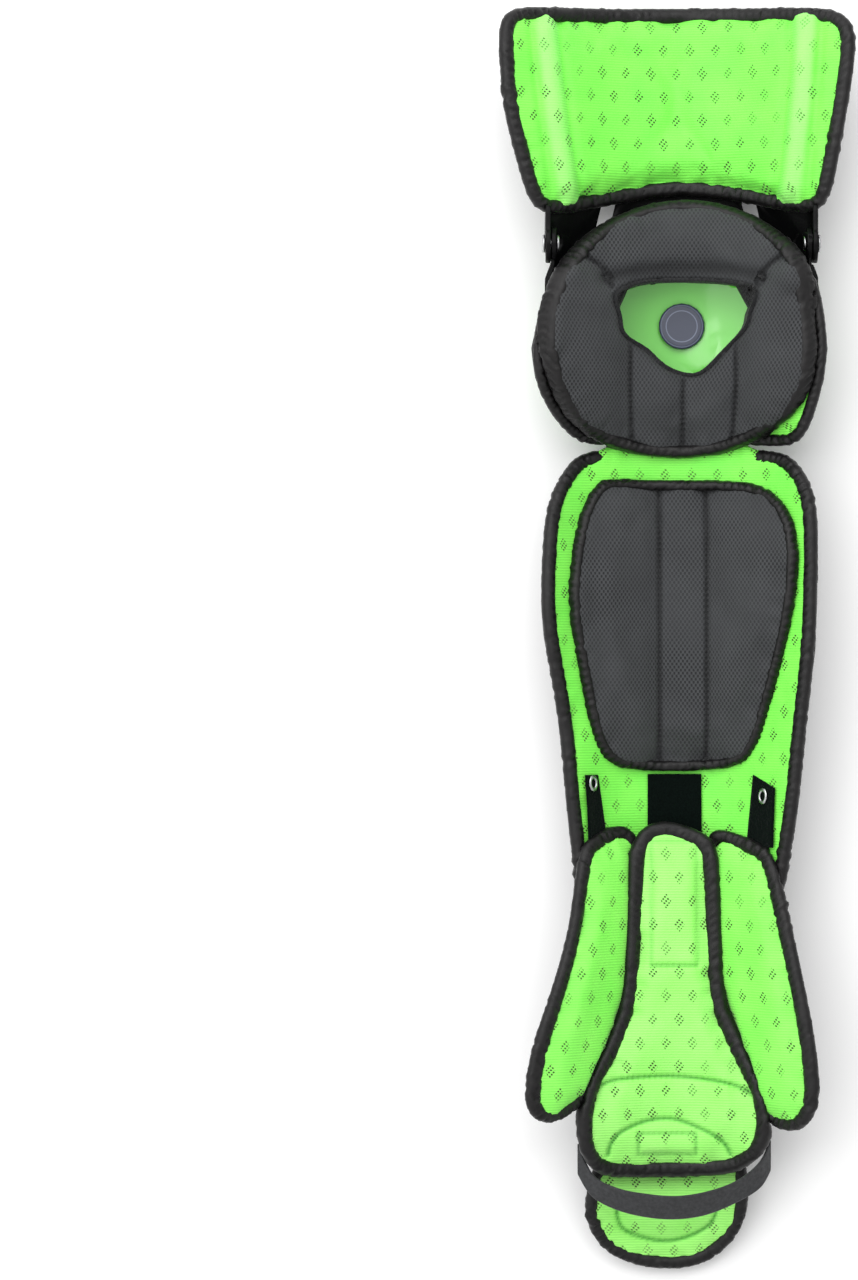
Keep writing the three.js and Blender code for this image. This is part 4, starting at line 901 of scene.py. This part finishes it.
def pucker(piece, pitch, height, seed):
    """Draws the tape in and out in small creases across it, each fading at its ends."""
    table, facing, way = points_of(piece), normals_of(piece), way_round(piece)
    amount = [noise.noise(Vector((s / pitch, seed, 0.0)))
              * (0.6 + noise.noise(Vector((x / 0.02, y / 0.02, z / 0.006))))
              for s, (x, y, z) in zip(way, table)]
    move_points(piece, table + facing * (np.array(amount) * height)[:, None])


def stitch_tape(piece, cover, inset=0.0028, pitch=0.0046, width=0.0009, depth=0.0011):
    """Draws a row of stitches into the tape, a little way in from where it meets the cover that it binds."""
    places = points_of(cover)[::2]
    tree = KDTree(len(places))
    for index, place in enumerate(places):
        tree.insert(place, index)
    tree.balance()
    table, facing, way = points_of(piece), normals_of(piece), way_round(piece)
    gap = np.array([tree.find(place)[2] for place in table])
    dash = np.clip(np.cos(way * math.tau / pitch) * 1.4, 0, 1)
    row = np.exp(-((gap - inset) / width) ** 2) * np.clip(facing[:, 2] * 2, 0, 1) * dash
    move_points(piece, table - facing * (row * depth)[:, None])
    # Painted shade: the stitch row is drawn darker in its holes.
    mark(piece, "seam", row * 0.8)


print("tapes:", sum("binding" in name for name in frame["nodes"]))

# %% [markdown]
# The tapes round the knee pad, its liner and the shin pad are narrow.
# So they are thickened less than the others.

# %% Binding tapes
TAPE_VOXEL = 0.0014
TAPE_ROOM, NARROW_ROOM, TAPE_SIDEWAYS = 0.0010, 0.0003, 0.0003
COVER_OF = {tape: node for node, tape in TAPE_OF.items()}
NARROW_TAPES = ("knee_pad_binding", "shin_pad_binding", "knee_liner_binding")
for node in sorted(n for n in frame["nodes"] if "binding" in n):
    tape = copy_of(node, node + "_tape")
    even_mesh(tape, TAPE_VOXEL, smooth=2)
    widen(tape, NARROW_ROOM if node in NARROW_TAPES else TAPE_ROOM, TAPE_SIDEWAYS)
    pucker(tape, pitch=0.0038, height=0.0010, seed=len(node))
    stitch_tape(tape, bpy.data.objects[COVER_OF.get(node, node.replace("_binding", "")) + "_cover"])
    smooth_faces(tape)
    dress(tape, satin_tape, BODY_OF[node])

# %% [markdown]
# ## Plastic shells
# The shells are thin moulded plates, so their faces are smooth and their rims crisp.
# The sharp edges are creased before subdivision, which keeps the rim and rounds the facets.

# %% Moulded shells
def shell_from(node, material, rounds=2, lift=0.0):
    """A smooth moulded plate made from a frame solid."""
    piece = copy_of(node, node + "_moulding")
    pick(piece)
    bpy.ops.object.mode_set(mode="EDIT")
    bpy.ops.mesh.select_all(action="DESELECT")
    bpy.ops.mesh.edges_select_sharp(sharpness=math.radians(40))
    bpy.ops.transform.edge_crease(value=0.9)
    bpy.ops.object.mode_set(mode="OBJECT")
    apply_modifier(piece, "SUBSURF", levels=rounds, render_levels=rounds)
    move_points(piece, points_of(piece) + [0, 0, lift])
    smooth_faces(piece)
    dress(piece, material, BODY_OF[node])


for node in ("thigh_shell", "knee_frame", "shin_shell", "ankle_plate_left", "ankle_plate_right",
             "instep_plate", "toe_plate"):
    shell_from(node, black_abs)
shell_from("knee_cap", green_abs)

# %% [markdown]
# ## Hook tape, strap, badge and metal parts
# The small parts are copies of their solids with rounded rims.
# The hook tape and the eyelets are lifted a little, so that they lie on top of the swollen liner.

# %% Small parts
HOOK_LIFT = 0.0024
EYELET_LIFT = 0.0028

for node in ("centre_hook_strip", "left_hook_strip", "right_hook_strip"):
    shell_from(node, hook_tape, lift=HOOK_LIFT)
for node in ("left_eyelet", "right_eyelet"):
    shell_from(node, steel, rounds=1, lift=EYELET_LIFT)
for node in ("hinge_rivet_left", "hinge_rivet_right"):
    shell_from(node, steel, rounds=1)
shell_from("knee_badge", slate_abs)

# %% [markdown]
# ## The foot strap
# The strap is flat elastic webbing, stretched over the toe flap. A remesh would wipe out its thin edge.
# So a grid is laid between two curves, one for each edge of the webbing, and given its thickness.

# %% Foot strap
STRAP_THICKNESS = 0.0016
STRAP_UPPER = curve_through([
    (-54.9, -282.2, 35.8), (-47.0, -299.2, 42.8), (-33.6, -306.2, 49.8), (-16.8, -309.2, 54.2),
    (0.0, -310.2, 55.8), (16.8, -307.8, 54.2), (33.6, -302.2, 49.8), (47.0, -292.2, 42.8),
    (53.2, -280.2, 35.8)], parts=8)
STRAP_LOWER = curve_through([
    (-54.9, -300.2, 35.8), (-47.0, -312.2, 39.8), (-33.6, -319.2, 43.8), (-16.8, -323.2, 45.8),
    (0.0, -324.2, 46.8), (16.8, -321.8, 45.8), (33.6, -315.2, 43.8), (47.0, -307.6, 39.8),
    (53.2, -298.2, 35.8)], parts=8)

bpy.ops.object.select_all(action="DESELECT")
bpy.ops.mesh.primitive_grid_add(x_subdivisions=64, y_subdivisions=8, size=1)
foot_strap = bpy.context.object
foot_strap.name = "foot_strap_webbing"
table = points_of(foot_strap)
stations = np.linspace(-0.5, 0.5, len(STRAP_UPPER))
upper = np.stack([np.interp(table[:, 0], stations, STRAP_UPPER[:, axis]) for axis in range(3)], axis=1)
lower = np.stack([np.interp(table[:, 0], stations, STRAP_LOWER[:, axis]) for axis in range(3)], axis=1)
move_points(foot_strap, lower + (upper - lower) * (table[:, 1:2] + 0.5))
apply_modifier(foot_strap, "SOLIDIFY", thickness=STRAP_THICKNESS, offset=0.0)
apply_modifier(foot_strap, "SUBSURF", levels=1, render_levels=1)
smooth_faces(foot_strap)
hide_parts("foot_strap")
dress(foot_strap, elastic, "lower_leg")

# %% [markdown]
# ## Floor and light
# The photograph has a plain white ground and soft light from all round.
# A little more comes from above the top edge.
# A pale floor, a pale sky and two broad area lamps give that.

# %% Stage
FLOOR_SIZE = 12.0

bpy.ops.mesh.primitive_plane_add(size=FLOOR_SIZE, location=(0, 0, 0))
floor = bpy.context.object
floor.name = "floor"
paper, paper_tree, paper_shader = new_material("matt_white_paper", Roughness=0.9)
paper_grain = add_node(paper_tree, "ShaderNodeTexNoise", {"Scale": 3.0, "Detail": 2.0}).outputs[0]
paper_shade = add_node(paper_tree, "ShaderNodeMix", {
    0: paper_grain, 6: colour("fbfbfb"), 7: colour("ffffff")}, data_type="RGBA")
paper_tree.links.new(paper_shade.outputs[2], paper_shader.inputs["Base Color"])
floor.data.materials.append(paper)

world = bpy.data.worlds.new("soft_white_room")
world.use_nodes = True
world.node_tree.nodes["Background"].inputs["Color"].default_value = (1, 1, 1, 1)
world.node_tree.nodes["Background"].inputs["Strength"].default_value = 0.78
bpy.context.scene.world = world


def soft_box(name, place, size, power):
    """A broad area lamp that looks at the guard."""
    bpy.ops.object.light_add(type="AREA", location=place)
    lamp = bpy.context.object
    lamp.name = name
    lamp.data.size = size
    lamp.data.energy = power
    lamp.rotation_euler = (Vector((0, 0, 0)) - Vector(place)).to_track_quat("-Z", "Y").to_euler()


soft_box("soft_box_top", place=(-0.4, 1.2, 1.7), size=2.2, power=38.0)
soft_box("soft_box_side", place=(-1.4, -0.3, 1.5), size=1.8, power=8.0)
bpy.context.scene.view_settings.view_transform = "Standard"
print("stage is set")
